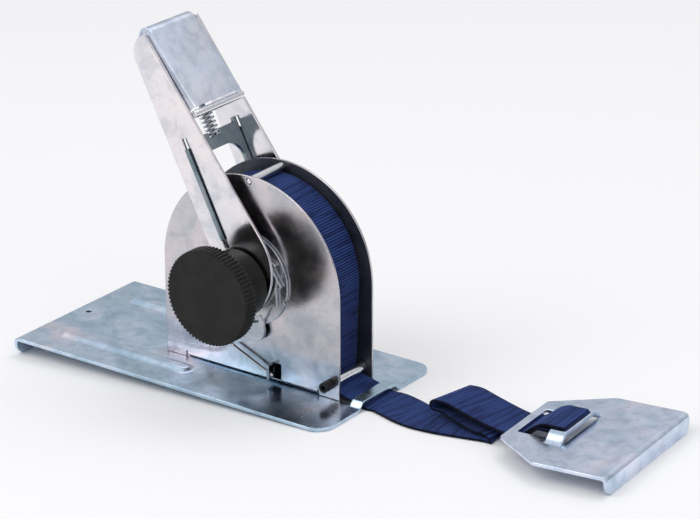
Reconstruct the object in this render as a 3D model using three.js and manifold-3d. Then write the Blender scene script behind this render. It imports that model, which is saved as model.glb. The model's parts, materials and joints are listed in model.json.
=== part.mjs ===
// Ratchet band clamp: a lever ratchet on a base plate winds in a woven strap whose far end carries a
// loose hook plate. All lengths are millimetres, +Z is up, +X runs from the drum towards the hook plate
// and the knob is on the -Y side. The clamp stands on z = 0 on the lip and the far edge of its base.
import * as THREE from 'three';
import { mergeVertices } from 'three/addons/utils/BufferGeometryUtils.js';
import Module from 'manifold-3d';

const wasm = await Module();
wasm.setup();

// Clearances
const seat = 0.3; // between pieces that touch in the real clamp
const play = 0.5; // beside a piece that turns or slides
const overrun = 2; // how far a cutter stands out of what it cuts

// Strap
const strapWidth = 35;
const strapThickness = 1.6;
const strapSidePlay = 0.6; // strap edge to side plate
const rollRadius = 63.6; // the wound strap on the drum
const layerGap = 0.45; // slit below the outermost wound layer
const slitSweep = THREE.MathUtils.degToRad(306); // how far the slit runs under that layer
const leadAngle = THREE.MathUtils.degToRad(252); // where the running strap joins the roll, low at the back

// Base plate
const baseLength = 270;
const baseWidth = 130;
const baseSheet = 2.5;
const baseMargin = 19.3; // arches to the edge that faces the hook plate
const baseCorner = 12.5;
const lipDrop = 11; // below the underside
const lipBend = 4; // outer radius of the bend
const lipCorner = 9;
const lipHole = 4.4;
const lipHoleInset = 12.5;
const lipHoleOffset = 1.6;
const ribLength = 118;
const ribWidth = 15;
const ribHeight = 2.2;
const ribSpacing = 76; // centre to centre
const ribInset = 21; // left edge of the base to the ribs
const ribFlank = 2.5; // width of the sloping rib wall
const windowLength = 24;
const windowSidePlay = 1.6;
const bridgeWidth = 9;
const bridgeRise = 4.5;
const bridgeRamp = 4.5;

// Side plates and what joins them
const sideSheet = 1.8;
const archMargin = 10.6; // wound strap to the edge of the arches
const archShift = 0.8; // centre of the arches ahead of the shaft
const archDrop = 1.1; // and below it
const rollClearance = 8.7; // wound strap to the base
const flangeLength = 112;
const flangeWidth = 9;
const spacerDiameter = 6;
const spacerTenon = 4;
const spacerInset = 4; // arch edge to the axis of the spacer bar
const guideDiameter = 8;
const guideInset = 7.7; // edge of the side plate to the axis of the guide
const guideZ = 10.5;
const screwDiameter = 4;
const screwHead = 7.2;
const screwHeadLength = 7.5;
const screwSocket = 3.6;
const screwSocketDepth = 2.6;
const screwTail = 2; // beyond the nut
const guideWasher = 9;
const guideWasherThickness = 1;
const nutAcross = 7;
const nutThickness = 3.2;

// Drum
const shaftDiameter = 14;
const shaftFlats = 10.5; // across the two flats of each end
const bushWall = 2;
const coreDiameter = 30;
const guardRadius = 33.7; // plain disc between side plate and ratchet wheel
const guardSheet = 1.8;
const guardNotchAngle = THREE.MathUtils.degToRad(-18);
const guardNotchWidth = 2.4;
const guardNotchDepth = 1.6;
const wheelThickness = 2.5;
const toothCount = 12;
const toothTip = 29.8;
const toothRoot = 26.2;
const toothCrest = 1.6; // width of a tooth at its tip
const washerDiameter = 24;
const washerThickness = 1.2;
const ringDiameter = 19;
const ringOpening = 6;
const shaftTail = 2;

// Knob
const knobDiameter = 67.6;
const knobRim = 11;
const knobRidges = 72;
const knobRidgeDepth = 1;
const knobCrest = 1.1; // flat top of a ridge
const knobFlank = 0.8; // width of its sloping side
const knobBreak = 0.5; // how much the front and back edges of the rim are broken
const hubDiameter = 47.8;
const hubLength = 24.4;
const hubCollar = 8; // length of the full diameter, next to the handle
const hubNeck = 45; // hub diameter where it meets the rim
const knobBore = 20; // depth of the blind bore
const grubDiameter = 4;
const grubLength = 12;

// Handle
const handleLean = THREE.MathUtils.degToRad(26.7); // back from upright
const armSheet = 2.5;
const armStandoff = 1.7; // ratchet wheel to arm
const armHead = 61.5; // knee to the tip
const armBack = 14.8; // slot line to the back edge
const armTipCorner = 15;
const armNoseFront = 1.7; // slot line to the front edge at the tip
const armKneeFront = 13.1; // and at the knee, where the grip cover ends
const armKneeMargin = 16; // bar of the drive pawl to the knee
const armFoot = 23.9; // drum axis to the lower end
const armToe = 39.2; // slot line to where front edge and lower end would meet
const armToeRadius = 38;
const armHeelCorner = 8;
const slotInner = 24; // drum axis to the inner end of the slot
const slotMargin = 2.9; // bar of the drive pawl to the outer end

// Grip cover
const coverLength = 58.8;
const coverSheet = 1.5;
const coverBend = 2.6;
const coverFlange = 7;
const coverStart = 4; // knee to the lower edge
const coverFront = 16.8; // slot line to the face at that edge
const coverTilt = THREE.MathUtils.degToRad(13.4);
const coverSidePlay = 0.6;
const bandRadius = 6; // bend over the tip
const bandSweep = THREE.MathUtils.degToRad(112);
const bandReturn = 7;
const bandInset = 2;
const crossbarDiameter = 5.2;
const seatPlateThickness = 1.5;
const seatPlateWidth = 12;
const seatPlateBack = 4.6;

// Drive pawl and its spring
const pawlSheet = 3;
const pawlSlotPlay = 0.75; // to each side of the slot
const pawlTipPlay = 0.4; // pawl tip to tooth tip at rest
const pawlInnerPlay = 1; // side plate to the inner edge of a leg
const pawlEarStandout = 2; // beyond the arms
const pawlEarDrop = 4.7; // outer edge of the bar to the end of the ears
const pawlBarMargin = 14.5; // arches to the bar between the legs
const pawlBarDepth = 12;
const pawlCorner = 12;
const pawlHornHeight = 3;
const pawlHornWidth = 3;
const tongueWidth = 4;
const tongueReach = 4; // lower edge of the grip cover to the tip of the tongue
const springNotch = 4;
const springDiameter = 10.5;
const springWire = 1.3;
const springCurls = 6;

// Holding pawls
const catchSheet = 2.5;
const catchPivotBack = 18.2; // behind the drum axis
const catchPivotDrop = 45.3; // and below it
const catchBoss = 6.2;
const catchLobeFront = 6.4; // ahead of the drum axis
const catchLobeDrop = 34.7;
const catchLobeRadius = 9.4;
const catchLobeStart = THREE.MathUtils.degToRad(-100);
const catchLobeEnd = THREE.MathUtils.degToRad(20);
const catchTipPlay = 0.4; // nose to the root of the teeth
const catchNoseWidth = 2.3;
const catchNoseFlare = THREE.MathUtils.degToRad(3);
const catchNoseShoulder = 4.4; // length of the nose's straight front
const catchBackSweep = THREE.MathUtils.degToRad(21); // of the hollow edge along the teeth
const pinDiameter = 5.4;
const pinTenon = 4;
const pinHead = 9;
const pinHeadThickness = 1;
const catchWire = 2.2;
const catchWireTail = 1.6;
const catchWireShare = 0.22; // where it bears on the pawl's lower edge
const catchWireSag = 0.5; // below that edge
const tabLength = 6.2;
const tabHeight = 11.5;
const tabFoot = 2.5; // above the base
const tabHold = 3.8; // wire above the foot of the tab
const tabX = 20.3;

// Hook plate
const hookGap = 115; // base edge to the hook plate
const hookYaw = THREE.MathUtils.degToRad(3.5);
const hookShift = 0.8; // sideways from the centre plane
const hookLength = 91;
const hookWidth = 116;
const hookNeck = 63.5; // width of the strap end
const hookShoulder = 38; // strap end to the full width
const hookSheet = 2.5;
const hookLip = 11; // below the underside
const hookLipCorner = 8;
const hookCorner = 2.5;
const hookSlotStart = 6; // strap end to the window
const hookSlotPlay = 2.5; // strap edge to the window's end
const barStart = 30; // strap end to the raised bar
const barWidth = 7.5;
const barSlot = 2.7;
const barRim = 1.8;
const barRise = 6;
const barRamp = 10;
const barSidePlay = 1.5;

// Free strap between the base and the hook plate
const foldRadius = 1.5;
const crestRadius = 3.6;
const foldShare = 0.86; // place of the lower fold along the gap
const crestShare = 0.41; // place of the upper fold along the gap
// Each row: place along the gap, sideways place over the strap width, height over the strap thickness
const lowerLayerShares = [
  [0, 0, 0.5], [0.03, 0, 0.5], [0.13, -0.09, 0.5], [0.24, -0.21, 0.5], [0.35, -0.28, 0.5],
  [0.5, -0.26, 0.5], [0.66, -0.18, 0.5], [0.8, -0.1, 0.5],
];
const middleLayerShares = [[0.8, -0.02, 2.55], [0.68, 0.1, 2.8], [0.56, 0.22, 3.6], [0.49, 0.28, 4.3]];
const upperLayerShares = [
  [0.52, 0.27, 8.9], [0.62, 0.2, 8.1], [0.74, 0.12, 7], [0.86, 0.05, 6.35], [0.94, 0.03, 6.2],
];
// Each row: place from the window edge to the bar, height from below the plate to over the bar
const loopClimbShares = [[0.04, 0], [0.36, 0.3], [0.68, 0.7], [0.86, 0.93]];
const foldSteps = 6;

// Fineness of round stretches
const arcStep = THREE.MathUtils.degToRad(12);
const fineStep = arcStep / 2;
const roundSides = 32;
const discSides = 60;
const smallSides = 16;
const curlSteps = 8;
const curlSides = 5;

// Places worked out from the sizes above, across the clamp
const strapHalf = strapWidth / 2;
const sideInner = strapHalf + strapSidePlay;
const sideOuter = sideInner + sideSheet;
const guardInner = sideOuter + seat;
const guardOuter = guardInner + guardSheet;
const wheelInner = guardOuter + seat;
const wheelOuter = wheelInner + wheelThickness;
const armInner = wheelOuter + armStandoff;
const armOuter = armInner + armSheet;
const washerInner = armOuter + seat;
const washerOuter = washerInner + washerThickness;
const hubBack = washerOuter + seat;
const rimBack = hubBack + hubLength;
const knobFront = rimBack + knobRim;
const shaftFront = hubBack + knobBore - seat;
const ringInner = washerOuter + seat;
const ringOuter = ringInner + washerThickness;
const shaftRear = ringOuter + shaftTail;

// Places along the clamp and around the drum, from the axis of the shaft
const sideRadius = rollRadius + archMargin;
const shaftHeight = rollRadius + rollClearance;
const archHeight = shaftHeight - archDrop;
const spacerHeight = archHeight + sideRadius - spacerInset;
const guideX = archShift + sideRadius - guideInset;
const baseReach = archShift + sideRadius + baseMargin;
const baseLeft = baseReach - baseLength;
const restTilt = Math.atan(lipDrop / (baseLength - baseSheet));
const leadRadius = rollRadius + seat + strapThickness / 2;
const pitch = (2 * Math.PI) / toothCount;
const handleAngle = Math.PI / 2 + handleLean;
const pawlTip = toothTip + pawlTipPlay;
const pawlBarInner = sideRadius + pawlBarMargin;
const pawlBarOuter = pawlBarInner + pawlBarDepth;
const slotOuter = pawlBarOuter + slotMargin;
const armKnee = pawlBarOuter + armKneeMargin;
const armLength = armKnee + armHead;
const coverFoot = armKnee + coverStart;
const pawlSideAngle = Math.asin((pawlSheet / 2 + seat) / toothRoot);
const toothFace = handleAngle + pawlSideAngle; // angle of a steep tooth face
const catchFace = toothFace - Math.PI; // the face that rests on the holding pawls
const catchPivotX = -catchPivotBack;
const catchPivotZ = shaftHeight - catchPivotDrop;
const hookTop = hookLip + hookSheet;

// A material for each kind of surface
function finish(color, metalness, roughness) {
  return () => new THREE.MeshStandardMaterial({ color, metalness, roughness });
}
const zincSheet = finish(0xb9bfc6, 0.9, 0.35);
const brightSteel = finish(0xd6d8da, 1, 0.18);
const plainSteel = finish(0x8f9499, 0.9, 0.4);
const blackOxide = finish(0x1c1d1e, 0.6, 0.5);
const springSteel = finish(0x6f7478, 1, 0.3);
const blackPlastic = finish(0x17191a, 0, 0.45);
const blueWebbing = finish(0x1b2f86, 0, 0.85);

// Points on an arc, from one angle to another
function arc(x, y, radius, from, to, steps = Math.max(2, Math.ceil(Math.abs(to - from) / arcStep))) {
  return Array.from({ length: steps + 1 }, (_, i) => {
    const angle = from + ((to - from) * i) / steps;
    return [x + radius * Math.cos(angle), y + radius * Math.sin(angle)];
  });
}

// An outline from corners [x, y, fillet radius]
function rounded(corners) {
  return corners.flatMap(([x, y, radius = 0], i) => {
    if (radius === 0) return [[x, y]];
    const here = new THREE.Vector2(x, y);
    const [px, py] = corners[(i + corners.length - 1) % corners.length];
    const [nx, ny] = corners[(i + 1) % corners.length];
    const back = new THREE.Vector2(px, py).sub(here).normalize();
    const on = new THREE.Vector2(nx, ny).sub(here).normalize();
    const half = Math.acos(THREE.MathUtils.clamp(back.dot(on), -1, 1)) / 2;
    const middle = here.clone().addScaledVector(back.clone().add(on).normalize(), radius / Math.sin(half));
    const start = here.clone().addScaledVector(back, radius / Math.tan(half)).sub(middle);
    const sweep = Math.PI - 2 * half;
    const turn = back.cross(on) > 0 ? -sweep : sweep;
    return arc(middle.x, middle.y, radius, start.angle(), start.angle() + turn);
  });
}

// A point at a distance and an angle from the axis of the shaft
function polar(radius, angle) {
  return [radius * Math.cos(angle), shaftHeight + radius * Math.sin(angle)];
}

// An arc about that axis in short steps
function fineArc(radius, from, to) {
  return arc(0, shaftHeight, radius, from, to, Math.ceil(Math.abs(to - from) / fineStep));
}

function box2(x0, y0, x1, y1, radius = 0) {
  return rounded([[x0, y0, radius], [x1, y0, radius], [x1, y1, radius], [x0, y1, radius]]);
}

function circle(x, y, diameter, sides = roundSides) {
  return arc(x, y, diameter / 2, 0, 2 * Math.PI, sides).slice(0, -1);
}

// A closed geometry with shared corners, no flat triangles and its faces pointing out
function tidy(geometry) {
  const bare = geometry.index ? geometry.toNonIndexed() : geometry;
  ['normal', 'uv'].forEach((name) => bare.deleteAttribute(name));
  const merged = mergeVertices(bare);
  const place = merged.attributes.position;
  const corner = (i) => new THREE.Vector3().fromBufferAttribute(place, i);
  const faces = [];
  let volume = 0;
  for (let i = 0; i < merged.index.count; i += 3) {
    const [a, b, c] = [0, 1, 2].map((k) => merged.index.getX(i + k));
    if (a === b || b === c || c === a) continue;
    faces.push([a, b, c]);
    volume += corner(a).dot(corner(b).cross(corner(c)));
  }
  const outward = volume < 0 ? faces.map(([a, b, c]) => [a, c, b]) : faces;
  merged.setIndex(outward.flat());
  return merged;
}

function toManifold(geometry) {
  const clean = tidy(geometry);
  return new wasm.Manifold(new wasm.Mesh({
    numProp: 3,
    vertProperties: Float32Array.from(clean.attributes.position.array),
    triVerts: Uint32Array.from(clean.index.array),
  }));
}

function fromManifold(solid) {
  const mesh = solid.getMesh();
  const geometry = new THREE.BufferGeometry();
  const places = new THREE.Float32BufferAttribute(Array.from(mesh.vertProperties), mesh.numProp);
  geometry.setAttribute('position', places);
  geometry.setIndex(Array.from(mesh.triVerts));
  return geometry;
}

function join(first, ...others) {
  return fromManifold(others.reduce((sum, other) => sum.add(toManifold(other)), toManifold(first)));
}

function cut(first, ...others) {
  return fromManifold(others.reduce((rest, other) => rest.subtract(toManifold(other)), toManifold(first)));
}

function extrude(points, depth, holes = []) {
  const shape = new THREE.Shape(points.map(([x, y]) => new THREE.Vector2(x, y)));
  shape.holes = holes.map((hole) => new THREE.Path(hole.map(([x, y]) => new THREE.Vector2(x, y))));
  return new THREE.ExtrudeGeometry(shape, { depth, bevelEnabled: false });
}

// An outline in x, z with a thickness along y
function plateXZ(points, yLow, yHigh, holes) {
  return extrude(points, yHigh - yLow, holes).rotateX(Math.PI / 2).translate(0, yHigh, 0);
}

// An outline in x, y with a thickness along z
function plateXY(points, zLow, zHigh, holes) {
  return extrude(points, zHigh - zLow, holes).translate(0, 0, zLow);
}

// An outline in y, z with a thickness along x
function plateYZ(points, xLow, xHigh, holes) {
  const turn = new THREE.Matrix4().makeBasis(
    new THREE.Vector3(0, 1, 0), new THREE.Vector3(0, 0, 1), new THREE.Vector3(1, 0, 0));
  return extrude(points, xHigh - xLow, holes).applyMatrix4(turn).translate(xLow, 0, 0);
}

// A profile of [radius, y] turned about the y axis through x, z
function turned(profile, x, z, sides = roundSides) {
  const points = profile.map(([radius, y]) => new THREE.Vector2(radius, y));
  return new THREE.LatheGeometry(points, sides).translate(x, 0, z);
}

function ring(inner, outer, yLow, yHigh, x, z, sides = roundSides) {
  return turned([[inner, yLow], [outer, yLow], [outer, yHigh], [inner, yHigh], [inner, yLow]], x, z, sides);
}

// The y range of a piece that lies between two distances from the centre plane on one side
function span(side, near, far) {
  return side < 0 ? [-far, -near] : [near, far];
}

// A tube through rings of points, closed by flat ends
function skin(rings) {
  const count = rings[0].length;
  const index = [];
  for (let i = 0; i + 1 < rings.length; i += 1) {
    for (let k = 0; k < count; k += 1) {
      const [a, b] = [i * count + k, i * count + ((k + 1) % count)];
      index.push(a, b, b + count, a, b + count, a + count);
    }
  }
  const last = (rings.length - 1) * count;
  for (let k = 1; k + 1 < count; k += 1) {
    index.push(0, k + 1, k, last, last + k, last + k + 1);
  }
  const geometry = new THREE.BufferGeometry();
  const flat = rings.flat().flatMap((point) => point.toArray());
  geometry.setAttribute('position', new THREE.Float32BufferAttribute(flat, 3));
  geometry.setIndex(index);
  return geometry;
}

function tangents(points) {
  return points.map((_, i) => {
    const before = points[Math.max(0, i - 1)];
    const after = points[Math.min(points.length - 1, i + 1)];
    return after.clone().sub(before).normalize();
  });
}

// A round wire along points, with rings that keep their twist
function wire(points, diameter, sides = curlSides) {
  const along = tangents(points);
  let across = new THREE.Vector3(0, 1, 0).cross(along[0]);
  if (Math.abs(along[0].y) > Math.cos(arcStep)) across = new THREE.Vector3(1, 0, 0);
  return skin(points.map((point, i) => {
    across.addScaledVector(along[i], -across.dot(along[i])).normalize();
    const other = along[i].clone().cross(across);
    return Array.from({ length: sides }, (_, k) => {
      const angle = (2 * Math.PI * k) / sides;
      return point.clone()
        .addScaledVector(across, (diameter / 2) * Math.cos(angle))
        .addScaledVector(other, (diameter / 2) * Math.sin(angle));
    });
  }));
}

// A flat strap along points; yaws turn its width away from the y axis
function ribbon(points, yaws = points.map(() => 0)) {
  const along = tangents(points);
  return skin(points.map((point, i) => {
    const across = new THREE.Vector3(-Math.sin(yaws[i]), Math.cos(yaws[i]), 0);
    const normal = along[i].clone().cross(across).normalize();
    return [[-1, -1], [1, -1], [1, 1], [-1, 1]].map(([a, n]) => point.clone()
      .addScaledVector(across, (a * strapWidth) / 2)
      .addScaledVector(normal, (n * strapThickness) / 2));
  }));
}

// The least distance between the surfaces of two stretches of one winding
function leastGap(name, points, thickness, apart) {
  let least = Infinity;
  points.forEach((point, i) => points.slice(i + apart).forEach((other) => {
    least = Math.min(least, point.distanceTo(other) - thickness);
  }));
  console.log(`${name}: least gap to itself ${least.toFixed(2)} mm`);
}

function flat(pairs, y = 0) {
  return pairs.map(([x, z]) => new THREE.Vector3(x, y, z));
}

function piece(name, geometry, material) {
  const mesh = new THREE.Mesh(tidy(geometry), material());
  mesh.name = name;
  return mesh;
}

// Base plate with its lip, its pressed ribs, the strap window and the raised bridge over the strap
function basePlate() {
  const half = baseWidth / 2;
  const windowHalf = strapHalf + windowSidePlay;
  const windowRight = baseReach - bridgeWidth;
  const sheet = plateXY(
    rounded([
      [baseLeft + lipBend, -half], [baseReach, -half, baseCorner], [baseReach, half, baseCorner],
      [baseLeft + lipBend, half],
    ]),
    -baseSheet, 0,
    [box2(windowRight - windowLength, -windowHalf, windowRight, windowHalf)],
  );
  const inner = lipBend - baseSheet;
  const bendX = baseLeft + lipBend;
  const lipProfile = [
    [bendX + overrun, 0],
    ...arc(bendX, -lipBend, lipBend, Math.PI / 2, Math.PI),
    [baseLeft, -baseSheet - lipDrop],
    [baseLeft + baseSheet, -baseSheet - lipDrop],
    ...arc(bendX, -lipBend, inner, Math.PI, Math.PI / 2),
    [bendX + overrun, -baseSheet],
  ];
  const lip = plateXZ(lipProfile, -half, half);
  const lipFoot = -baseSheet - lipDrop;
  const corners = [-1, 1].map((side) => {
    const centre = side * (half - lipCorner);
    const round = arc(centre, lipFoot + lipCorner, lipCorner, -Math.PI / 2, side > 0 ? 0 : -Math.PI);
    const beyond = side * (half + overrun);
    const outside = [[beyond, lipFoot + lipCorner], [beyond, lipFoot - overrun]];
    return plateYZ([[centre, lipFoot - overrun], ...round, ...outside], baseLeft - overrun, bendX);
  });
  const ribs = [-1, 1].flatMap((side) => {
    const y = (side * ribSpacing) / 2;
    const left = baseLeft + ribInset;
    return [stampedRib(left, y, 0, 0), stampedRib(left, y, -baseSheet, baseSheet)];
  });
  const bridgeHalf = windowHalf + bridgeRamp;
  const bridgeGap = plateXY(
    box2(windowRight - seat, -bridgeHalf, baseReach + overrun, bridgeHalf), -baseSheet - overrun, overrun);
  const bridge = plateYZ([
    [-bridgeHalf - seat, -baseSheet], [-bridgeHalf, -baseSheet], [-windowHalf, bridgeRise - baseSheet],
    [windowHalf, bridgeRise - baseSheet], [bridgeHalf, -baseSheet], [bridgeHalf + seat, -baseSheet],
    [bridgeHalf + seat, 0], [bridgeHalf, 0], [windowHalf - ribFlank / 2, bridgeRise],
    [-windowHalf + ribFlank / 2, bridgeRise], [-bridgeHalf, 0], [-bridgeHalf - seat, 0],
  ], windowRight, baseReach);
  const hole = new THREE.CylinderGeometry(lipHole / 2, lipHole / 2, baseSheet + 2 * overrun, smallSides)
    .rotateX(Math.PI / 2)
    .translate(baseLeft + lipHoleInset, lipHoleOffset, -baseSheet / 2);
  const body = join(cut(join(sheet, lip), ...corners), ribs[0], ribs[2]);
  return join(cut(body, ribs[1], ribs[3], hole, bridgeGap), bridge);
}

// A rib with sloping walls: the raised form above the sheet, or the hollow below it when narrowed
function stampedRib(left, y, foot, narrowing) {
  const level = (z, inset) => {
    const radius = ribWidth / 2 - inset;
    const middle = ribWidth / 2;
    const ends = [
      ...arc(left + ribLength - middle, y, radius, -Math.PI / 2, Math.PI / 2),
      ...arc(left + middle, y, radius, Math.PI / 2, (3 * Math.PI) / 2),
    ];
    return ends.map(([px, py]) => new THREE.Vector3(px, py, z));
  };
  const inset = narrowing / 2;
  return skin([level(foot - (narrowing > 0 ? overrun : seat), inset), level(foot, inset),
    level(foot + ribHeight, inset + ribFlank)]);
}

function sidePlate(side) {
  const arch = [
    [archShift - sideRadius, seat], [archShift + sideRadius, seat],
    ...arc(archShift, archHeight, sideRadius, 0, Math.PI, Math.ceil(Math.PI / fineStep)),
  ];
  const holes = [
    circle(0, shaftHeight, shaftDiameter + 2 * bushWall + 2 * seat),
    circle(archShift, spacerHeight, spacerTenon + 2 * seat, smallSides),
    circle(guideX, guideZ, screwDiameter + 2 * seat, smallSides),
    circle(catchPivotX, catchPivotZ, pinTenon + 2 * seat, smallSides),
    box2(tabX, tabFoot, tabX + tabLength, tabFoot + tabHeight),
  ];
  const wall = plateXZ(arch, ...span(side, sideInner, sideOuter), holes);
  const flange = plateXZ(
    box2(archShift - flangeLength / 2, seat, archShift + flangeLength / 2, seat + sideSheet),
    ...span(side, sideInner - flangeWidth, sideInner + sideSheet / 2));
  const tab = plateXZ(
    box2(tabX - sideSheet, tabFoot, tabX, tabFoot + tabHeight),
    ...span(side, sideInner + seat, sideOuter + tabLength));
  const [end, tip] = catchWirePath(side);
  const along = tip.clone().sub(end).normalize();
  const eye = wire([end.clone().addScaledVector(along, -overrun), tip], catchWire + 3 * seat, smallSides);
  return cut(join(wall, flange, tab), eye);
}

// A holding pawl: from its pivot to a round lobe below the wheel, with the nose on top
function catchLowerEdge() {
  const lobe = arc(
    catchLobeFront, shaftHeight - catchLobeDrop, catchLobeRadius, catchLobeStart, catchLobeEnd);
  return [[catchPivotX, catchPivotZ - catchBoss + seat], ...lobe];
}

function catchOutline() {
  const face = catchFace - seat / toothRoot;
  const nose = toothRoot + catchTipPlay;
  const back = face - catchNoseWidth / nose;
  const hollow = back - catchNoseFlare;
  return [
    polar(nose, back), ...fineArc(toothTip + 3 * seat, hollow, hollow - catchBackSweep),
    [catchPivotX, catchPivotZ + catchBoss - seat], ...catchLowerEdge(),
    polar(nose + catchNoseShoulder, face), polar(nose, face),
  ];
}

function catchPawl(side) {
  const range = span(side, wheelInner, wheelInner + catchSheet);
  const lever = plateXZ(catchOutline(), ...range);
  const boss = plateXZ(circle(catchPivotX, catchPivotZ, 2 * catchBoss), ...range);
  const bore = plateXZ(circle(catchPivotX, catchPivotZ, pinDiameter + 2 * seat, smallSides),
    range[0] - overrun, range[1] + overrun);
  return cut(join(lever, boss), bore);
}

// The spring wire runs from the tab on the side plate to the lower edge of the pawl
function catchWirePath(side) {
  const y = side * (wheelInner + catchSheet / 2);
  const [heel, lobe] = catchLowerEdge();
  const bearing = [0, 1].map((i) => THREE.MathUtils.lerp(heel[i], lobe[i], catchWireShare));
  const drop = catchWire / 2 + catchWireSag;
  return [
    new THREE.Vector3(tabX + catchWireTail, y, tabFoot + tabHold),
    new THREE.Vector3(bearing[0], y, bearing[1] - drop),
  ];
}

function catchPin(side) {
  const head = wheelInner + catchSheet + seat;
  const profile = [
    [0, sideInner + seat], [pinTenon / 2, sideInner + seat], [pinTenon / 2, guardInner],
    [pinHead / 2, guardInner], [pinHead / 2, guardOuter], [pinDiameter / 2, guardOuter],
    [pinDiameter / 2, head], [pinHead / 2, head], [pinHead / 2, head + pinHeadThickness / 2],
    [pinHead / 3, head + pinHeadThickness], [0, head + pinHeadThickness],
  ];
  return turned(profile.map(([r, y]) => [r, side * y]), catchPivotX, catchPivotZ, smallSides);
}

function spacerBar() {
  const [radius, tenon] = [spacerDiameter / 2, spacerTenon / 2];
  const [inner, end] = [sideInner - seat, sideOuter + seat];
  return turned([
    [0, -end], [tenon, -end], [tenon, -inner], [radius, -inner],
    [radius, inner], [tenon, inner], [tenon, end], [0, end],
  ], archShift, spacerHeight, smallSides);
}

function guideScrew() {
  const [head, shank, socket] = [screwHead / 2, screwDiameter / 2, screwSocket / 2];
  const under = -(sideOuter + seat);
  const top = under - screwHeadLength;
  const tail = sideOuter + guideWasherThickness + nutThickness + 3 * seat + screwTail;
  return turned([
    [0, top + screwSocketDepth], [socket, top + screwSocketDepth], [socket, top],
    [head - seat, top], [head, top + seat], [head, under], [shank, under], [shank, tail], [0, tail],
  ], guideX, guideZ, smallSides);
}

function guideNut() {
  const inner = sideOuter + 2 * seat + guideWasherThickness;
  const hexagon = circle(guideX, guideZ, nutAcross / Math.cos(Math.PI / 6), 6);
  const bore = circle(guideX, guideZ, screwDiameter + 2 * seat, smallSides);
  return plateXZ(hexagon, inner, inner + nutThickness, [bore]);
}

// The strap from the drum to the base edge: once over the roll, down to the guide and under the bridge
function strapLead() {
  const guide = guideDiameter / 2 + seat + strapThickness / 2;
  const [dx, dz] = [guideX, guideZ - shaftHeight];
  const distance = Math.hypot(dx, dz);
  const leave = Math.atan2(dz, dx) + Math.acos((leadRadius + guide) / distance);
  const exit = [baseReach + lipBend, -baseSheet + strapThickness / 2 + (lipBend * lipDrop) / baseLength];
  const under = [baseReach - bridgeWidth / 2, bridgeRise - baseSheet - strapThickness - 3 * seat];
  const fall = Math.atan2(guideZ - under[1], under[0] - guideX) - Math.asin(guide / Math.hypot(
    under[0] - guideX, guideZ - under[1]));
  const route = [
    ...fineArc(leadRadius, leadAngle, leave),
    ...arc(guideX, guideZ, guide, leave + Math.PI, 1.5 * Math.PI - fall),
    under, [(under[0] + exit[0]) / 2, (under[1] + exit[1]) / 2 - seat], exit,
  ];
  return ribbon(flat(route));
}

// The wound strap: a plain core with its outermost layer lying over a thin slit
function strapRoll() {
  const step = (strapThickness + layerGap) / (2 * Math.PI);
  const turns = (from, to, drop) => {
    const count = Math.ceil(Math.abs(to - from) / fineStep);
    return Array.from({ length: count + 1 }, (_, i) => {
      const angle = from + ((to - from) * i) / count;
      return polar(rollRadius - step * angle - drop, leadAngle + angle);
    });
  };
  const outside = turns(0, 2 * Math.PI + slitSweep, 0);
  const inside = turns(slitSweep, 0, strapThickness);
  const middle = turns(0, 2 * Math.PI + slitSweep, strapThickness / 2);
  leastGap('strap_roll outer layer', flat(middle), strapThickness, Math.round((2 * Math.PI) / fineStep) - 2);
  const bore = circle(0, shaftHeight, coreDiameter + 2 * seat);
  return plateXZ([...outside, ...inside], -strapHalf, strapHalf, [bore]);
}

// The outline of a shaft end with two flats, one above and one below
function doubleD(diameter, across) {
  const edge = Math.acos(across / diameter);
  return [
    ...arc(0, shaftHeight, diameter / 2, edge - Math.PI / 2, Math.PI / 2 - edge),
    ...arc(0, shaftHeight, diameter / 2, Math.PI / 2 + edge, 1.5 * Math.PI - edge),
  ];
}

function drumShaft() {
  const round = ring(0, shaftDiameter / 2, -sideOuter, sideOuter, 0, shaftHeight);
  return join(round, plateXZ(doubleD(shaftDiameter, shaftFlats), -shaftFront, shaftRear));
}

function shaftHole() {
  return doubleD(shaftDiameter + 2 * seat, shaftFlats + 2 * seat);
}

// A plain disc with one small notch that keeps the pawls off the side plate
function guardDisc(side) {
  const half = guardNotchWidth / 2 / guardRadius;
  const [before, after] = [guardNotchAngle - half, guardNotchAngle + half];
  const outline = [
    ...arc(0, shaftHeight, guardRadius, after, before + 2 * Math.PI, discSides),
    polar(guardRadius - guardNotchDepth, before), polar(guardRadius - guardNotchDepth, after),
  ];
  return plateXZ(outline, ...span(side, guardInner, guardOuter), [shaftHole()]);
}

// A wheel whose teeth have one steep face each; the pawls drop behind it
function ratchetWheel(side) {
  const valley = 2 * pawlSideAngle;
  const outline = Array.from({ length: toothCount }, (_, k) => {
    const face = toothFace + k * pitch;
    return [
      polar(toothRoot, face), polar(toothTip, face), polar(toothTip, face + toothCrest / toothTip),
      polar(toothRoot, face + pitch - valley),
    ];
  }).flat();
  return plateXZ(outline, ...span(side, wheelInner, wheelOuter), [shaftHole()]);
}

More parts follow.
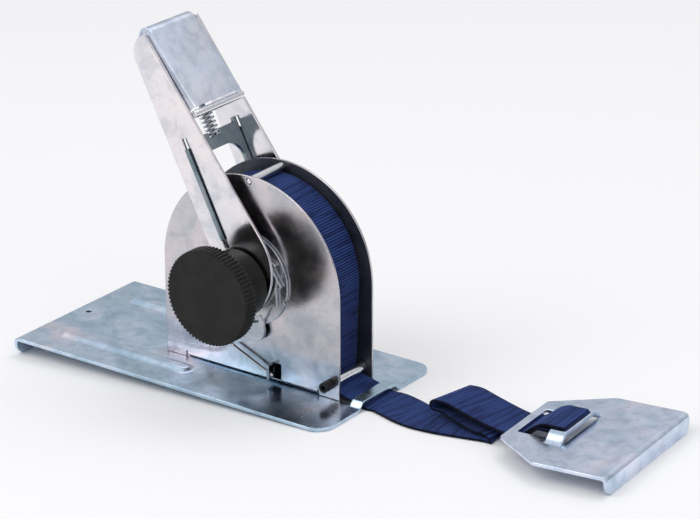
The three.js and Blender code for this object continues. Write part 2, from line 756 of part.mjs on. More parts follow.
// Knob with a ridged rim, a plain hub behind it and a blind bore
function knob() {
  const outer = knobDiameter / 2;
  const outline = (radius, depth) => Array.from({ length: knobRidges }, (_, k) => {
    const angle = (2 * Math.PI * k) / knobRidges;
    return [[radius, angle], [radius, angle + knobCrest / outer],
      [radius - depth, angle + (knobCrest + knobFlank) / outer]];
  }).flat().map(([r, a]) => [r * Math.cos(a), r * Math.sin(a)]);
  const level = (y, radius, depth) => outline(radius, depth).map(
    ([x, z]) => new THREE.Vector3(x, -y, z + shaftHeight));
  const full = (y) => level(y, outer, knobRidgeDepth);
  const broken = (y) => level(y, outer - knobBreak, knobRidgeDepth / 2);
  const rim = skin([
    broken(rimBack), full(rimBack + knobBreak), full(knobFront - knobBreak), broken(knobFront),
  ]);
  const hub = turned([
    [0, -hubBack], [hubDiameter / 2, -hubBack], [hubDiameter / 2, -hubBack - hubCollar],
    [hubNeck / 2, -rimBack + seat], [hubNeck / 2, -rimBack - overrun], [0, -rimBack - overrun],
  ], 0, shaftHeight);
  const bore = plateXZ(shaftHole(), -hubBack - knobBore, -hubBack + overrun);
  const grubHole = grubBlank(grubDiameter + 2 * seat, hubDiameter);
  return cut(join(rim, hub), bore, grubHole);
}

function grubBlank(diameter, length) {
  const start = shaftFlats / 2 + seat;
  return new THREE.CylinderGeometry(diameter / 2, diameter / 2, length, smallSides)
    .rotateX(Math.PI / 2)
    .translate(0, -hubBack - hubLength / 2, shaftHeight + start + length / 2);
}

function retainingRing() {
  const plain = ring(
    shaftDiameter / 2 + seat, ringDiameter / 2, ringInner, ringOuter, 0, shaftHeight, smallSides);
  const gap = plateXZ(box2(-ringOpening / 2, shaftHeight, ringOpening / 2, shaftHeight + ringDiameter),
    ringInner - overrun, ringOuter + overrun);
  return cut(plain, gap);
}

// Handle pieces stand upright here, x forwards of the slot line and z out from the drum axis
function handleArm(side) {
  const range = span(side, armInner, armOuter);
  const toeAngle = Math.atan2(armKnee + armFoot, armToe - armKneeFront);
  const toeRoom = (armToe + armBack - armHeelCorner) * Math.tan(toeAngle / 2);
  const outline = rounded([
    [-armBack, -armFoot, armHeelCorner], [armToe, -armFoot, Math.min(armToeRadius, toeRoom)],
    [armKneeFront, armKnee],
    [armNoseFront, armLength, seat], [-armBack, armLength, armTipCorner],
  ]);
  const half = pawlSheet / 2 + pawlSlotPlay;
  const slot = box2(-half, slotInner, half, slotOuter, half / 2);
  const bore = circle(0, 0, shaftDiameter + 2 * play);
  return plateXZ(outline, ...range, [slot, bore]);
}

// Folded grip cover: a shallow channel with a band bent back over the tip of the handle
function gripCover() {
  const half = armInner - coverSidePlay;
  const sheet = coverSheet;
  const bend = coverBend;
  const channel = [
    ...rounded([[-half, -coverFlange], [-half, 0, bend], [half, 0, bend], [half, -coverFlange]]),
    ...rounded([
      [half - sheet, -coverFlange], [half - sheet, -sheet, bend - sheet],
      [-half + sheet, -sheet, bend - sheet], [-half + sheet, -coverFlange],
    ]),
  ];
  const turn = new THREE.Matrix4().makeBasis(
    new THREE.Vector3(0, -1, 0), new THREE.Vector3(1, 0, 0), new THREE.Vector3(0, 0, 1));
  const body = extrude(channel, coverLength).applyMatrix4(turn);
  const bandHalf = half - bandInset;
  const end = coverLength - seat;
  const inner = bandRadius - sheet;
  const away = [-Math.sin(bandSweep) * bandReturn, Math.cos(bandSweep) * bandReturn];
  const outer = arc(-bandRadius, end, bandRadius, 0, bandSweep);
  const under = arc(-bandRadius, end, inner, bandSweep, 0);
  const edge = [outer.at(-1), under[0]].map(([x, z]) => [x + away[0], z + away[1]]);
  const band = plateXZ(
    [[0, end - overrun], ...outer, ...edge, ...under, [-sheet, end - overrun]], -bandHalf, bandHalf);
  return join(body, band);
}

// The crossbar lies just below the folded edges of the cover
const crossbarPlace = [
  coverFront - crossbarDiameter / 2,
  coverFoot - coverFlange * Math.sin(coverTilt) - crossbarDiameter / 2 - seat,
];

function handleCrossbar() {
  const [x, z] = crossbarPlace;
  return ring(0, crossbarDiameter / 2, -armInner + seat, armInner - seat, x, z, smallSides);
}

function springSeat() {
  const [x, z] = crossbarPlace;
  const low = z - seatPlateThickness / 2;
  const half = seatPlateWidth / 2;
  const [holeX, holeY] = [pawlSheet / 2 + play, tongueWidth / 2 + play];
  const outline = box2(-seatPlateBack, -half, x - crossbarDiameter / 2 - seat, half);
  return plateXY(outline, low, low + seatPlateThickness, [box2(-holeX, -holeY, holeX, holeY)]);
}

// Drive pawl: one flat plate whose legs reach both wheels and whose edges run in the arm slots
function drivePawl() {
  const leg = sideOuter + pawlInnerPlay;
  const tip = guardOuter + play;
  const tipTop = guardRadius + pawlTip - toothRoot + seat;
  const body = armInner - seat;
  const ear = armOuter + pawlEarStandout;
  const earTop = pawlBarOuter - pawlEarDrop;
  const notch = springDiameter / 2 + seat;
  const half = [
    [leg, pawlBarInner, pawlCorner], [leg, tipTop], [tip, tipTop], [tip, pawlTip], [ear, pawlTip],
    [ear, earTop], [body, earTop],
    [body, pawlBarOuter + pawlHornHeight], [body - pawlHornWidth, pawlBarOuter + pawlHornHeight],
    [body - pawlHornWidth, pawlBarOuter], [notch, pawlBarOuter], [notch, pawlBarOuter - springNotch],
    [tongueWidth / 2, pawlBarOuter - springNotch], [tongueWidth / 2, coverFoot + tongueReach],
  ];
  const mirrored = half.map(([y, z, r]) => [-y, z, r]).reverse();
  return plateYZ(rounded([...half, ...mirrored]), -pawlSheet / 2, pawlSheet / 2);
}

function driveSpring() {
  const radius = (springDiameter - springWire) / 2;
  const low = pawlBarOuter - springNotch + seat + springWire / 2;
  const high = crossbarPlace[1] - seatPlateThickness / 2 - seat - springWire / 2;
  const steps = springCurls * curlSteps;
  const curls = Array.from({ length: steps + 1 }, (_, i) => {
    const angle = (2 * Math.PI * i) / curlSteps;
    const z = THREE.MathUtils.lerp(low, high, i / steps);
    return new THREE.Vector3(radius * Math.cos(angle), radius * Math.sin(angle), z);
  });
  leastGap('drive_spring', curls, springWire, curlSteps - 2);
  return wire(curls, springWire);
}

// Hook plate with its lip, the strap window and the raised bar that the strap goes round
function hookPlate() {
  const [neck, half] = [hookNeck / 2, hookWidth / 2];
  const bend = hookLength - lipBend;
  const windowHalf = strapHalf + hookSlotPlay;
  const barEnd = barStart + barWidth + barSlot + barRim;
  const low = hookTop - hookSheet;
  const sheet = plateXY(rounded([
    [0, -neck, hookCorner], [hookShoulder, -half, hookCorner], [bend, -half], [bend, half],
    [hookShoulder, half, hookCorner], [0, neck, hookCorner],
  ]), low, hookTop, [box2(hookSlotStart, -windowHalf, barStart, windowHalf)]);
  const lipProfile = [
    [bend - overrun, hookTop - hookSheet],
    ...arc(bend, hookTop - lipBend, lipBend - hookSheet, Math.PI / 2, 0),
    [hookLength - hookSheet, 0], [hookLength, 0],
    ...arc(bend, hookTop - lipBend, lipBend, 0, Math.PI / 2),
    [bend - overrun, hookTop],
  ];
  const lip = plateXZ(lipProfile, -half, half);
  const corners = [-1, 1].map((side) => {
    const centre = side * (half - hookLipCorner);
    const round = arc(centre, hookLipCorner, hookLipCorner, -Math.PI / 2, side > 0 ? 0 : -Math.PI);
    const beyond = side * (half + overrun);
    const outside = [[beyond, hookLipCorner], [beyond, -overrun]];
    return plateYZ([[centre, -overrun], ...round, ...outside], bend, hookLength + overrun);
  });
  const barHalf = windowHalf - barSidePlay + barRamp;
  const rise = hookTop + barRise;
  const top = windowHalf - barSidePlay;
  const opening = plateXY(box2(barStart - seat, -barHalf, barEnd, barHalf), low - overrun, hookTop + overrun);
  const bar = plateYZ([
    [-barHalf - seat, low], [-barHalf, low], [-top, rise - hookSheet], [top, rise - hookSheet],
    [barHalf, low], [barHalf + seat, low], [barHalf + seat, hookTop], [barHalf, hookTop], [top - seat, rise],
    [-top + seat, rise], [-barHalf, hookTop], [-barHalf - seat, hookTop],
  ], barStart, barEnd);
  const slotHalf = strapHalf + seat;
  const slot = plateXY(
    box2(barStart + barWidth, -slotHalf, barStart + barWidth + barSlot, slotHalf), low, rise + overrun);
  return join(cut(join(sheet, lip), ...corners, opening), cut(bar, slot));
}

// The sewn strap end: under the plate edge, up over the bar, down its slot and back below itself
function strapLoop() {
  const wrap = seat + strapThickness / 2;
  const [left, right] = [barStart, barStart + barWidth];
  const [top, underside] = [hookTop + barRise, hookTop + barRise - hookSheet];
  const layer = strapThickness + 2 * seat;
  const level = hookTop - hookSheet - wrap;
  const rise = top + wrap - level;
  const climb = loopClimbShares.map(([along, lift]) => [
    THREE.MathUtils.lerp(hookSlotStart, left, along), level + lift * rise,
  ]);
  const back = climb.slice(1, -1).reverse().map(([x, z]) => [x, z - layer - seat]);
  const route = [
    [seat, level], ...climb, [left, top + wrap],
    ...arc(right, top, wrap, Math.PI / 2, 0, foldSteps / 2),
    ...arc(right, underside, wrap, 0, -Math.PI / 2, foldSteps / 2),
    [left, underside - wrap], ...back, [hookSlotStart, level - layer], [strapThickness, level - layer],
  ];
  return ribbon(flat(route));
}

// The turn of a strap layer at each of its points, seen from above
function layerYaws(points) {
  return points.map((_, i) => {
    const before = points[Math.max(0, i - 1)];
    const after = points[Math.min(points.length - 1, i + 1)];
    return Math.atan((after.y - before.y) / (after.x - before.x));
  });
}

// The slack between base and hook plate lies in a flat Z
function strapRun() {
  const gap = hookGap - lipBend;
  const begin = baseReach + lipBend + 2 * seat;
  const place = ([along, aside, lift]) => new THREE.Vector3(
    begin + along * gap, aside * strapWidth, lift * strapThickness + seat);
  const layers = [lowerLayerShares, middleLayerShares, upperLayerShares].map((rows) => rows.map(place));
  const yaws = layers.map(layerYaws);
  const [lower, middle, upper] = layers;
  const controls = [];
  const add = (point, yaw) => controls.push({ point, yaw });
  const layer = (k) => layers[k].forEach((point, i) => add(point, yaws[k][i]));
  const fold = (k, x, z, radius, from, to) => {
    const [y, nextY] = [layers[k].at(-1).y, layers[k + 1][0].y];
    arc(x, z, radius, from, to, foldSteps).forEach(([px, pz], i) => {
      const share = i / foldSteps;
      add(new THREE.Vector3(px, THREE.MathUtils.lerp(y, nextY, share), pz),
        THREE.MathUtils.lerp(yaws[k].at(-1), yaws[k + 1][0], share));
    });
  };
  layer(0);
  fold(0, begin + foldShare * gap, lower.at(-1).z + foldRadius, foldRadius, -Math.PI / 2, Math.PI / 2);
  layer(1);
  const crestZ = (middle.at(-1).z + upper[0].z) / 2;
  fold(1, begin + crestShare * gap + crestRadius, crestZ, crestRadius, -Math.PI / 2, -1.5 * Math.PI);
  layer(2);
  const level = hookTop - hookSheet - seat - strapThickness / 2;
  [strapThickness + seat, seat].forEach((before) => add(new THREE.Vector3(
    baseReach + hookGap - before * Math.cos(hookYaw), hookShift - before * Math.sin(hookYaw), level), hookYaw));
  const curve = new THREE.CatmullRomCurve3(controls.map(({ point }) => point), false, 'centripetal');
  const steps = 2 * (controls.length - 1);
  const points = Array.from({ length: steps + 1 }, (_, i) => curve.getPoint(i / steps));
  const turns = points.map((_, i) => {
    const [before, after] = [controls[Math.floor(i / 2)], controls[Math.ceil(i / 2)]];
    return (before.yaw + after.yaw) / 2;
  });
  return ribbon(points, turns);
}

// The ratchet and its base, tilted so that the lip and the far edge both stand on the floor
const machine = new THREE.Group();
machine.rotation.y = restTilt;
const stand = new THREE.Vector3(baseReach, 0, -baseSheet);
machine.position.copy(stand).sub(stand.clone().applyAxisAngle(new THREE.Vector3(0, 1, 0), restTilt));
machine.position.z += baseSheet;
machine.add(
  piece('base_plate', basePlate(), zincSheet),
  piece('top_spacer_bar', spacerBar(), brightSteel),
  piece('guide_tube', ring(screwDiameter / 2 + seat, guideDiameter / 2, -sideInner + seat, sideInner - seat,
    guideX, guideZ, smallSides), brightSteel),
  piece('guide_screw', guideScrew(), blackOxide),
  piece('guide_washer', ring(screwDiameter / 2 + seat, guideWasher / 2, sideOuter + seat,
    sideOuter + seat + guideWasherThickness, guideX, guideZ, smallSides), plainSteel),
  piece('guide_nut', guideNut(), plainSteel),
  piece('strap_lead', strapLead(), blueWebbing),
  piece('drum_shaft', drumShaft(), plainSteel),
  piece('drum_core', ring(shaftDiameter / 2 + seat, coreDiameter / 2, -strapHalf, strapHalf, 0, shaftHeight),
    plainSteel),
  piece('strap_roll', strapRoll(), blueWebbing),
  piece('knob', knob(), blackPlastic),
  piece('knob_grub_screw', grubBlank(grubDiameter, grubLength), blackOxide),
  piece('knob_washer', ring(shaftDiameter / 2 + seat, washerDiameter / 2, -washerOuter, -washerInner,
    0, shaftHeight), plainSteel),
  piece('rear_washer', ring(shaftDiameter / 2 + seat, washerDiameter / 2, washerInner, washerOuter,
    0, shaftHeight), plainSteel),
  piece('retaining_ring', retainingRing(), springSteel),
);
[['front', -1], ['rear', 1]].forEach(([label, side]) => {
  machine.add(
    piece(`side_plate_${label}`, sidePlate(side), zincSheet),
    piece(`shaft_bush_${label}`, ring(shaftDiameter / 2 + seat, shaftDiameter / 2 + bushWall,
      ...span(side, sideInner, sideOuter), 0, shaftHeight), brightSteel),
    piece(`guard_disc_${label}`, guardDisc(side), zincSheet),
    piece(`ratchet_wheel_${label}`, ratchetWheel(side), plainSteel),
    piece(`holding_pawl_${label}`, catchPawl(side), zincSheet),
    piece(`holding_pawl_pin_${label}`, catchPin(side), brightSteel),
    piece(`holding_pawl_spring_${label}`, wire(catchWirePath(side), catchWire, smallSides / 2), springSteel),
    piece(`arm_spacer_${label}`, ring(shaftDiameter / 2 + play, washerDiameter / 2,
      ...span(side, wheelOuter + seat, armInner - seat), 0, shaftHeight), plainSteel),
  );
});

// The handle leans back about the drum axis, with the drive pawl and its spring inside it
const handle = new THREE.Group();
handle.position.z = shaftHeight;
handle.rotation.y = -handleLean;
const cover = new THREE.Group();
cover.position.set(coverFront, 0, coverFoot);
cover.rotation.y = -coverTilt;
cover.add(piece('grip_cover', gripCover(), zincSheet));
handle.add(
  piece('handle_arm_front', handleArm(-1), zincSheet),
  piece('handle_arm_rear', handleArm(1), zincSheet),
  cover,
  piece('handle_crossbar', handleCrossbar(), brightSteel),
  piece('spring_seat', springSeat(), zincSheet),
  piece('drive_pawl', drivePawl(), zincSheet),
  piece('drive_spring', driveSpring(), springSteel),
);
machine.add(handle);

// The hook plate lies level on its lip at the end of the slack strap
const hook = new THREE.Group();
hook.position.set(baseReach + hookGap, hookShift, 0);
hook.rotation.z = hookYaw;
hook.add(
  piece('hook_plate', hookPlate(), zincSheet),
  piece('strap_loop', strapLoop(), blueWebbing),
);

const clamp = new THREE.Group();
clamp.add(machine, hook, piece('strap_run', strapRun(), blueWebbing));

// The origin is the middle of the clamp's footprint, on the floor
clamp.updateMatrixWorld(true);
const bounds = new THREE.Box3().setFromObject(clamp, true);
const middle = bounds.getCenter(new THREE.Vector3());
clamp.position.set(-middle.x, -middle.y, -bounds.min.z);

export default clamp;
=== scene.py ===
"""Ratchet band clamp: the finished surfaces, floor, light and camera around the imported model."""
import json
import math

import bpy
import numpy as np
from mathutils import Matrix, Vector
from mathutils.geometry import delaunay_2d_cdt

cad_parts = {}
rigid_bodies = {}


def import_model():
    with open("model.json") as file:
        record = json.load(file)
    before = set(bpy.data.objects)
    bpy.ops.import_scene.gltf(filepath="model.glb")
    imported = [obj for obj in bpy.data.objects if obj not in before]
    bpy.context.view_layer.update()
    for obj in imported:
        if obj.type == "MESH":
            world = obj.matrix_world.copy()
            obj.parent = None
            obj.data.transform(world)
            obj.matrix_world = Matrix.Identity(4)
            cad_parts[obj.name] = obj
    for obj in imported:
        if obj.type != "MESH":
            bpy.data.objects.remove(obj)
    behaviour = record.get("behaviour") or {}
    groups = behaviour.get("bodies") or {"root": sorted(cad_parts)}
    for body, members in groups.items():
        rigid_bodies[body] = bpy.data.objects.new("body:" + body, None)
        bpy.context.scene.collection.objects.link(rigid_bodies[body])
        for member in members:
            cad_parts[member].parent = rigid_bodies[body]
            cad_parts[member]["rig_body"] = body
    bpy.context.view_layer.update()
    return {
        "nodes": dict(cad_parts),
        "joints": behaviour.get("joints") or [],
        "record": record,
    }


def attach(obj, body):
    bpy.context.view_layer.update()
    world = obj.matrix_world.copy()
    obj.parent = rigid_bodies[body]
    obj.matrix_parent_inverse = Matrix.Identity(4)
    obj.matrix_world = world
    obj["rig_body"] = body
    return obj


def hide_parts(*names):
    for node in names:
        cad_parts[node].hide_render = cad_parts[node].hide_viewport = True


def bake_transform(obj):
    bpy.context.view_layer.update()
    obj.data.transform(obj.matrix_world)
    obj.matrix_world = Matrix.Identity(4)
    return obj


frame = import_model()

joints = {joint["name"]: joint for joint in frame["joints"]}
slot_of = {row["node"]: row["material_slot"] for row in frame["record"]["subparts"]}

# Camera, in metres and degrees
IMAGE_WIDTH = 700
FOCAL_PIXELS = 3030.8
SENSOR = 36.0
CAMERA_PLACE = (1.1346, -1.5186, 0.8078)
CAMERA_AZIMUTH = 36.51
CAMERA_ELEVATION = 20.57
CAMERA_ROLL = 2.17

# Sizes of the clamp, in millimetres, as its solids have them. A table of corners holds (x, z, fillet).
MM = 0.001
SEAT = 0.3  # between pieces that touch in the real clamp
EDGE = 0.3  # round on the edges of a sheet
QUARTER = math.pi / 2

# Webbing
STRAP_WIDTH = 35.0
STRAP_THICKNESS = 1.6
RIB_PITCH = 1.9
RIB_SWELL = 0.11
RIB_STEPS = 6
WARP_PITCH = 0.9
WARP_SHARE = 0.35
THREAD_ROOM = 0.06  # taken off each face, under the ribs
SELVEDGE = (0.4, 1.6)  # the width at each edge without ribs, and that over which they rise
ROLL_RADIUS = 63.6
ROLL_TURNS = 1.9
LAYER_GAP = 0.45
LEAD_ANGLE = math.radians(252)
# The core of the wound strap, as (radius, place along the shaft)
CORE_PROFILE = [(15.3, -17.3), (59.4, -17.3), (59.4, 17.3), (15.3, 17.3)]

# Base plate
BASE_LENGTH = 270.0
BASE_WIDTH = 130.0
BASE_SHEET = 2.5
BASE_REACH = 94.3
BASE_LEFT = BASE_REACH - BASE_LENGTH
BASE_CORNER = 12.5
LIP_DROP = 11.0
LIP_BEND = 4.0
LIP_CORNER = 9.0
LIP_RADIUS = LIP_BEND - BASE_SHEET / 2
LIP_BLANK = LIP_RADIUS * QUARTER + LIP_DROP + BASE_SHEET - LIP_BEND
NAIL_HOLE = (12.5, 1.6, 4.4)  # from the left edge, from the middle, diameter
RIB_LENGTH = 118.0
RIB_WIDTH = 15.0
RIB_HEIGHT = 2.2
RIB_FLANK = 4.8
RIB_CENTRE = 38.0
RIB_INSET = 21.0
RIB_LOW = BASE_LEFT + RIB_INSET + RIB_WIDTH / 2
RIB_HIGH = RIB_LOW + RIB_LENGTH - RIB_WIDTH
# Distances from a rib's middle line at which points follow its press
RIB_RINGS = (8.3, 7.5, 6.8, 6.1, 5.4, 4.7, 4.0, 3.3, 2.6, 1.9, 1.0)
WINDOW_HALF = 19.1
WINDOW_RIGHT = BASE_REACH - 9.0
WINDOW_LEFT = WINDOW_RIGHT - 24.0
BRIDGE_HALF = 23.6
BRIDGE_RISE = 4.5
BRIDGE_INSET = 4.5  # from the far edge to where the strap passes under

# Side plates
SHAFT_HEIGHT = 72.3
SIDE_SHEET = 1.8
SIDE_RADIUS = 74.2
ARCH_X = 0.8
ARCH_Z = SHAFT_HEIGHT - 1.1
SPACER_Z = ARCH_Z + SIDE_RADIUS - 4.0
SIDE_INNER = 18.1
SIDE_OUTER = SIDE_INNER + SIDE_SHEET
SIDE_MIDDLE = SIDE_INNER + SIDE_SHEET / 2
BUSH_BORE = 18.6
PIN_BORE = 4.6
BAR_TENON = 2.0
BAR_BODY = 3.0
RIVET = 0.3
FOOT_HALF = 56.0
FOOT_REACH = 9.0
FOOT_RELIEF = (1.0, 4.2)  # width and height of the notch beside the foot
FOOT_RADIUS = 1.8
FOOT_BEND = SEAT + SIDE_SHEET / 2 + FOOT_RADIUS
FOOT_BLANK = FOOT_RADIUS * QUARTER + SIDE_MIDDLE - FOOT_RADIUS - SIDE_INNER + FOOT_REACH
TAB_X = 20.3
TAB_LENGTH = 6.2
TAB_LOW = 3.4
TAB_HIGH = 14.0
TAB_RADIUS = 1.3
TAB_BEND = TAB_X - SIDE_SHEET / 2 - TAB_RADIUS
TAB_BLANK = TAB_RADIUS * QUARTER + SIDE_OUTER + TAB_LENGTH - SIDE_MIDDLE - TAB_RADIUS
TAB_EYE = 2.6

# Guide tube with its screw, washer and nut
GUIDE_X = 67.3
GUIDE_Z = 10.5
GUIDE_RADIUS = 4.0
GUIDE_BORE = 2.3
SCREW_RADIUS = 2.0
SCREW_HEAD = (3.6, 7.5)  # radius and height
SCREW_END = 27.0
SOCKET = (2.08, 1.8, 2.6)  # radius at its corners, half the width between flats, and depth
WASHER = (2.2, 4.5, 1.0)  # bore radius, outer radius and thickness
NUT_HEIGHT = 3.2
NUT_HALF = 3.5
NUT_CORNER = 4.05
NUT_DOME = 3.3

# Shaft, guard discs and ratchet wheels
GUARD_INNER = 20.2
GUARD_SHEET = 1.8
GUARD_RADIUS = 33.7
GUARD_NOTCH = math.radians(-18)
NOTCH_HALF = 1.2
NOTCH_DEPTH = 1.6
WHEEL_INNER = 22.3
WHEEL_SHEET = 2.5
TOOTH_COUNT = 12
TOOTH_TIP = 29.8
TOOTH_ROOT = 26.2
TOOTH_CREST = 1.6
SHAFT_DIAMETER = 14.0
SHAFT_FLATS = 10.5
SHAFT_WASHER = (7.3, 12.0, 1.2)  # bore radius, outer radius and thickness

# Holding pawls, their pins and spring wires
CATCH_X = -18.2
CATCH_Z = 27.0
PIN_START = 18.4
PIN_TENON = 2.0
PIN_COLLAR = (4.3, 4.5, 1.8)  # radius at its edge, full radius, and length
PIN_BEARING = 2.7
PIN_HEAD = [(4.5, 25.1), (4.5, 25.5), (3.6, 25.9), (2, 26.06), (0, 26.1)]
CATCH_SHEET = 2.5
CATCH_BORE = 6.0
CATCH_BOSS = 6.2
CATCH_LOBE = (6.4, SHAFT_HEIGHT - 34.7, 9.4)  # x, z and radius
CATCH_PLAY = 0.4
CATCH_NOSE = 2.3
CATCH_SHOULDER = 4.4
WIRE_DIAMETER = 2.2
WIRE_FROM = np.array([TAB_X + 1.6, TAB_LOW + 2.9])
WIRE_TO = np.array([-13.15, 21.09])
WIRE_Y = WHEEL_INNER + CATCH_SHEET / 2

# Handle, in its own frame: z runs from the shaft to the grip
ARM_INNER = 26.5
ARM_SHEET = 2.5
ARM_OUTER = ARM_INNER + ARM_SHEET
ARM_CORNERS = [
    (-14.8, -23.9, 8), (39.2, -23.9, 38), (13.1, 116.7, 30), (1.7, 178.2, 0.8), (-14.8, 178.2, 15),
]
ARM_SLOT = (-2.25, 24, 2.25, 103.6, 1.1)
ARM_BORE = 15.0
HANDLE_LEAN = math.radians(26.7)
HANDLE_ANGLE = QUARTER + HANDLE_LEAN
PAWL_SHEET = 3.0
PAWL_TIP = 30.2
PAWL_SHOULDER = 38.0
PAWL_EAR = 96.0
BAR_INNER = 88.7
BAR_OUTER = 100.7
HORN = 3.0
SPRING_NOTCH = (5.55, 4.0)  # half its width, and its depth
TONGUE_HALF = 2.0
TONGUE_REACH = 4.0
SEAT_SHEET = 1.5
SEAT_PLATE = (-4.6, 6.0)  # back edge and half the width
CROSSBAR = (14.2, 116.18)
CROSSBAR_DIAMETER = 5.2
SPRING_WIRE = 1.3
SPRING_RADIUS = 4.6
SPRING_CURLS = 6
COIL_END = 0.225
COVER_FOOT = 120.7
COVER_FRONT = 16.8
COVER_TILT = math.radians(13.4)
COVER_LENGTH = 58.8
COVER_SHEET = 1.5
COVER_BEND = 2.6
COVER_RADIUS = COVER_BEND - COVER_SHEET / 2
COVER_FLAT = 25.9 - COVER_BEND  # half the width between the bends
COVER_FLANGE = 7.0
COVER_TOP = COVER_LENGTH - SEAT
BAND_RADIUS = 6.0 - COVER_SHEET / 2
BAND_SWEEP = math.radians(112)
BAND_END = 7.0

# Knob
HUB_BACK = 30.8
HUB_RADIUS = 23.9
HUB_BORE = (7.3, 20.0)  # radius and depth
HUB_SHOULDER = (22.5, 8.0)  # radius behind the rim, and length of the straight hub
KNOB_RADIUS = 33.8
KNOB_RIDGES = 72
RIDGE_DEPTH = 1.1
RIDGE_STEP = (2.2, 1.6)  # how far inside the rim a ridge starts, and where it is full
RIM_INSETS = (2.6, 4.0)
KNOB_ROUND = 1.1
KNOB_RIM_BACK = 55.2
KNOB_FRONT = 66.2

# Hook plate, from its edge towards its lip
HOOK_YAW = math.radians(3.5)
HOOK_GAP = 115.0
HOOK_LENGTH = 91.0
HOOK_HALF = 58.0
HOOK_NECK = 31.75
HOOK_SHOULDER = 38.0
HOOK_SHEET = 2.5
HOOK_TOP = 13.5
HOOK_WINDOW = (6.0, 20.0)  # left edge, and half the width
BAR_START = 30.0
BAR_WIDTH = 7.5
BAR_SLOT = (2.7, 17.8)  # length, and half the width
BAR_END = 42.0
BAR_RISE = 6.0
BAR_HALF = 28.5
BAR_FLAT = 18.5
REST_TILT = math.atan(LIP_DROP / (BASE_LENGTH - BASE_SHEET))

# Sewn loop: how far the strap has come along and up between the window's edge and the bar
CLIMB = ((0.04, 0.04), (0.26, 0.36), (0.52, 0.78), (0.78, 1.0))
LOOP_DIP = 2.4  # behind the plate's edge, where half of the dip is gone
LOOP_TAIL = (9.0, 5.0)  # where the sewn end lies below the strap

# Counts of points along the curved straps
ROLL_STEPS = 720
RUN_STEPS = 900
LOOP_STEPS = 400

# Spacings of the points that hold a sheet's bends and presses
FINE = 0.6
CLOSE = 1.5
WIDE = 3.0


def turn(axis, angle):
    """Rotation matrix about one axis."""
    return np.array(Matrix.Rotation(angle, 3, axis))


class Place:
    """A local frame: a point in millimetres is turned, then carried to its origin in metres."""

    def __init__(self, rotation, origin, centre=(0, 0, 0)):
        self.rotation = np.array(rotation, float)
        self.origin = np.array(origin, float)
        self.centre = np.array(centre, float)

    def __call__(self, points):
        return (np.asarray(points, float) - self.centre) @ self.rotation.T * MM + self.origin


shaft = np.array(joints["drum_spin"]["pos_m"], float)
hook_hinge = np.array(joints["hook_lift"]["pos_m"], float)
machine = Place(turn("Y", REST_TILT), shaft, (0, 0, SHAFT_HEIGHT))
handle = Place(turn("Y", REST_TILT - HANDLE_LEAN), shaft)
cover = Place(
    turn("Y", REST_TILT - HANDLE_LEAN - COVER_TILT),
    handle([(COVER_FRONT, 0, COVER_FOOT)])[0],
)
hook = Place(turn("Z", HOOK_YAW), (hook_hinge[0], hook_hinge[1], 0))


def add_object(name, data):
    """A new object with these data, in the scene."""
    made = bpy.data.objects.new(name, data)
    bpy.context.scene.collection.objects.link(made)
    return made


# Camera
def add_camera():
    """The photograph's view: a long lens that looks down at the clamp."""
    data = bpy.data.cameras.new("camera")
    data.sensor_width = SENSOR
    data.lens = FOCAL_PIXELS / IMAGE_WIDTH * SENSOR
    camera = add_object("camera", data)
    azimuth, elevation, roll = map(math.radians, (CAMERA_AZIMUTH, CAMERA_ELEVATION, CAMERA_ROLL))
    camera.rotation_euler = (
        Matrix.Rotation(azimuth, 3, "Z")
        @ Matrix.Rotation(QUARTER - elevation, 3, "X")
        @ Matrix.Rotation(-roll, 3, "Z")
    ).to_euler()
    camera.location = CAMERA_PLACE
    bpy.context.scene.camera = camera


add_camera()


# Meshes
def make_piece(name, node, points, faces, material, smooth=True, uvs=None, rides=True, stands=True):
    """Builds a closed mesh from points in metres, its faces outwards. It moves with the node's body, has
    the given material and stands for the node. A piece with rides off has no parent, and a piece that
    only fills another out doesn't stand for a node."""
    mesh = bpy.data.meshes.new(name)
    mesh.from_pydata(np.asarray(points, float).tolist(), [], [list(map(int, f)) for f in faces])
    if uvs is not None:
        layer = mesh.uv_layers.new(name="UVMap")
        loops = np.zeros(len(mesh.loops), np.int32)
        mesh.loops.foreach_get("vertex_index", loops)
        layer.data.foreach_set("uv", np.asarray(uvs, np.float32)[loops].ravel())
    mesh.polygons.foreach_set("use_smooth", np.array(np.broadcast_to(smooth, len(mesh.polygons))))
    mesh.update()
    mesh.calc_loop_triangles()
    corners = np.zeros(len(mesh.loop_triangles) * 3, np.int32)
    mesh.loop_triangles.foreach_get("vertices", corners)
    a, b, c = np.moveaxis(np.asarray(points, float)[corners.reshape(-1, 3)], 1, 0)
    if np.einsum("ij,ij->i", a, np.cross(b, c)).sum() < 0:
        mesh.flip_normals()
    piece = add_object(name, mesh)
    mesh.materials.append(material)
    if rides:
        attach(piece, frame["nodes"][node]["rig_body"])
    if stands:
        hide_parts(node)
    return piece


def strip_faces(rows, columns, close_rows=False, close_columns=True):
    """Quads of a grid of points numbered row by row."""
    i = np.arange(rows if close_rows else rows - 1)
    j = np.arange(columns if close_columns else columns - 1)
    i, j = np.meshgrid(i, j, indexing="ij")
    i2, j2 = (i + 1) % rows, (j + 1) % columns
    quads = np.stack([i * columns + j, i * columns + j2, i2 * columns + j2, i2 * columns + j], -1)
    return quads.reshape(-1, 4).tolist()


def capped_faces(rows, columns):
    """Quads of a tube of rings, and one many-sided face over each end."""
    last = (rows - 1) * columns
    return strip_faces(rows, columns) + [list(range(columns))[::-1], list(range(last, last + columns))]


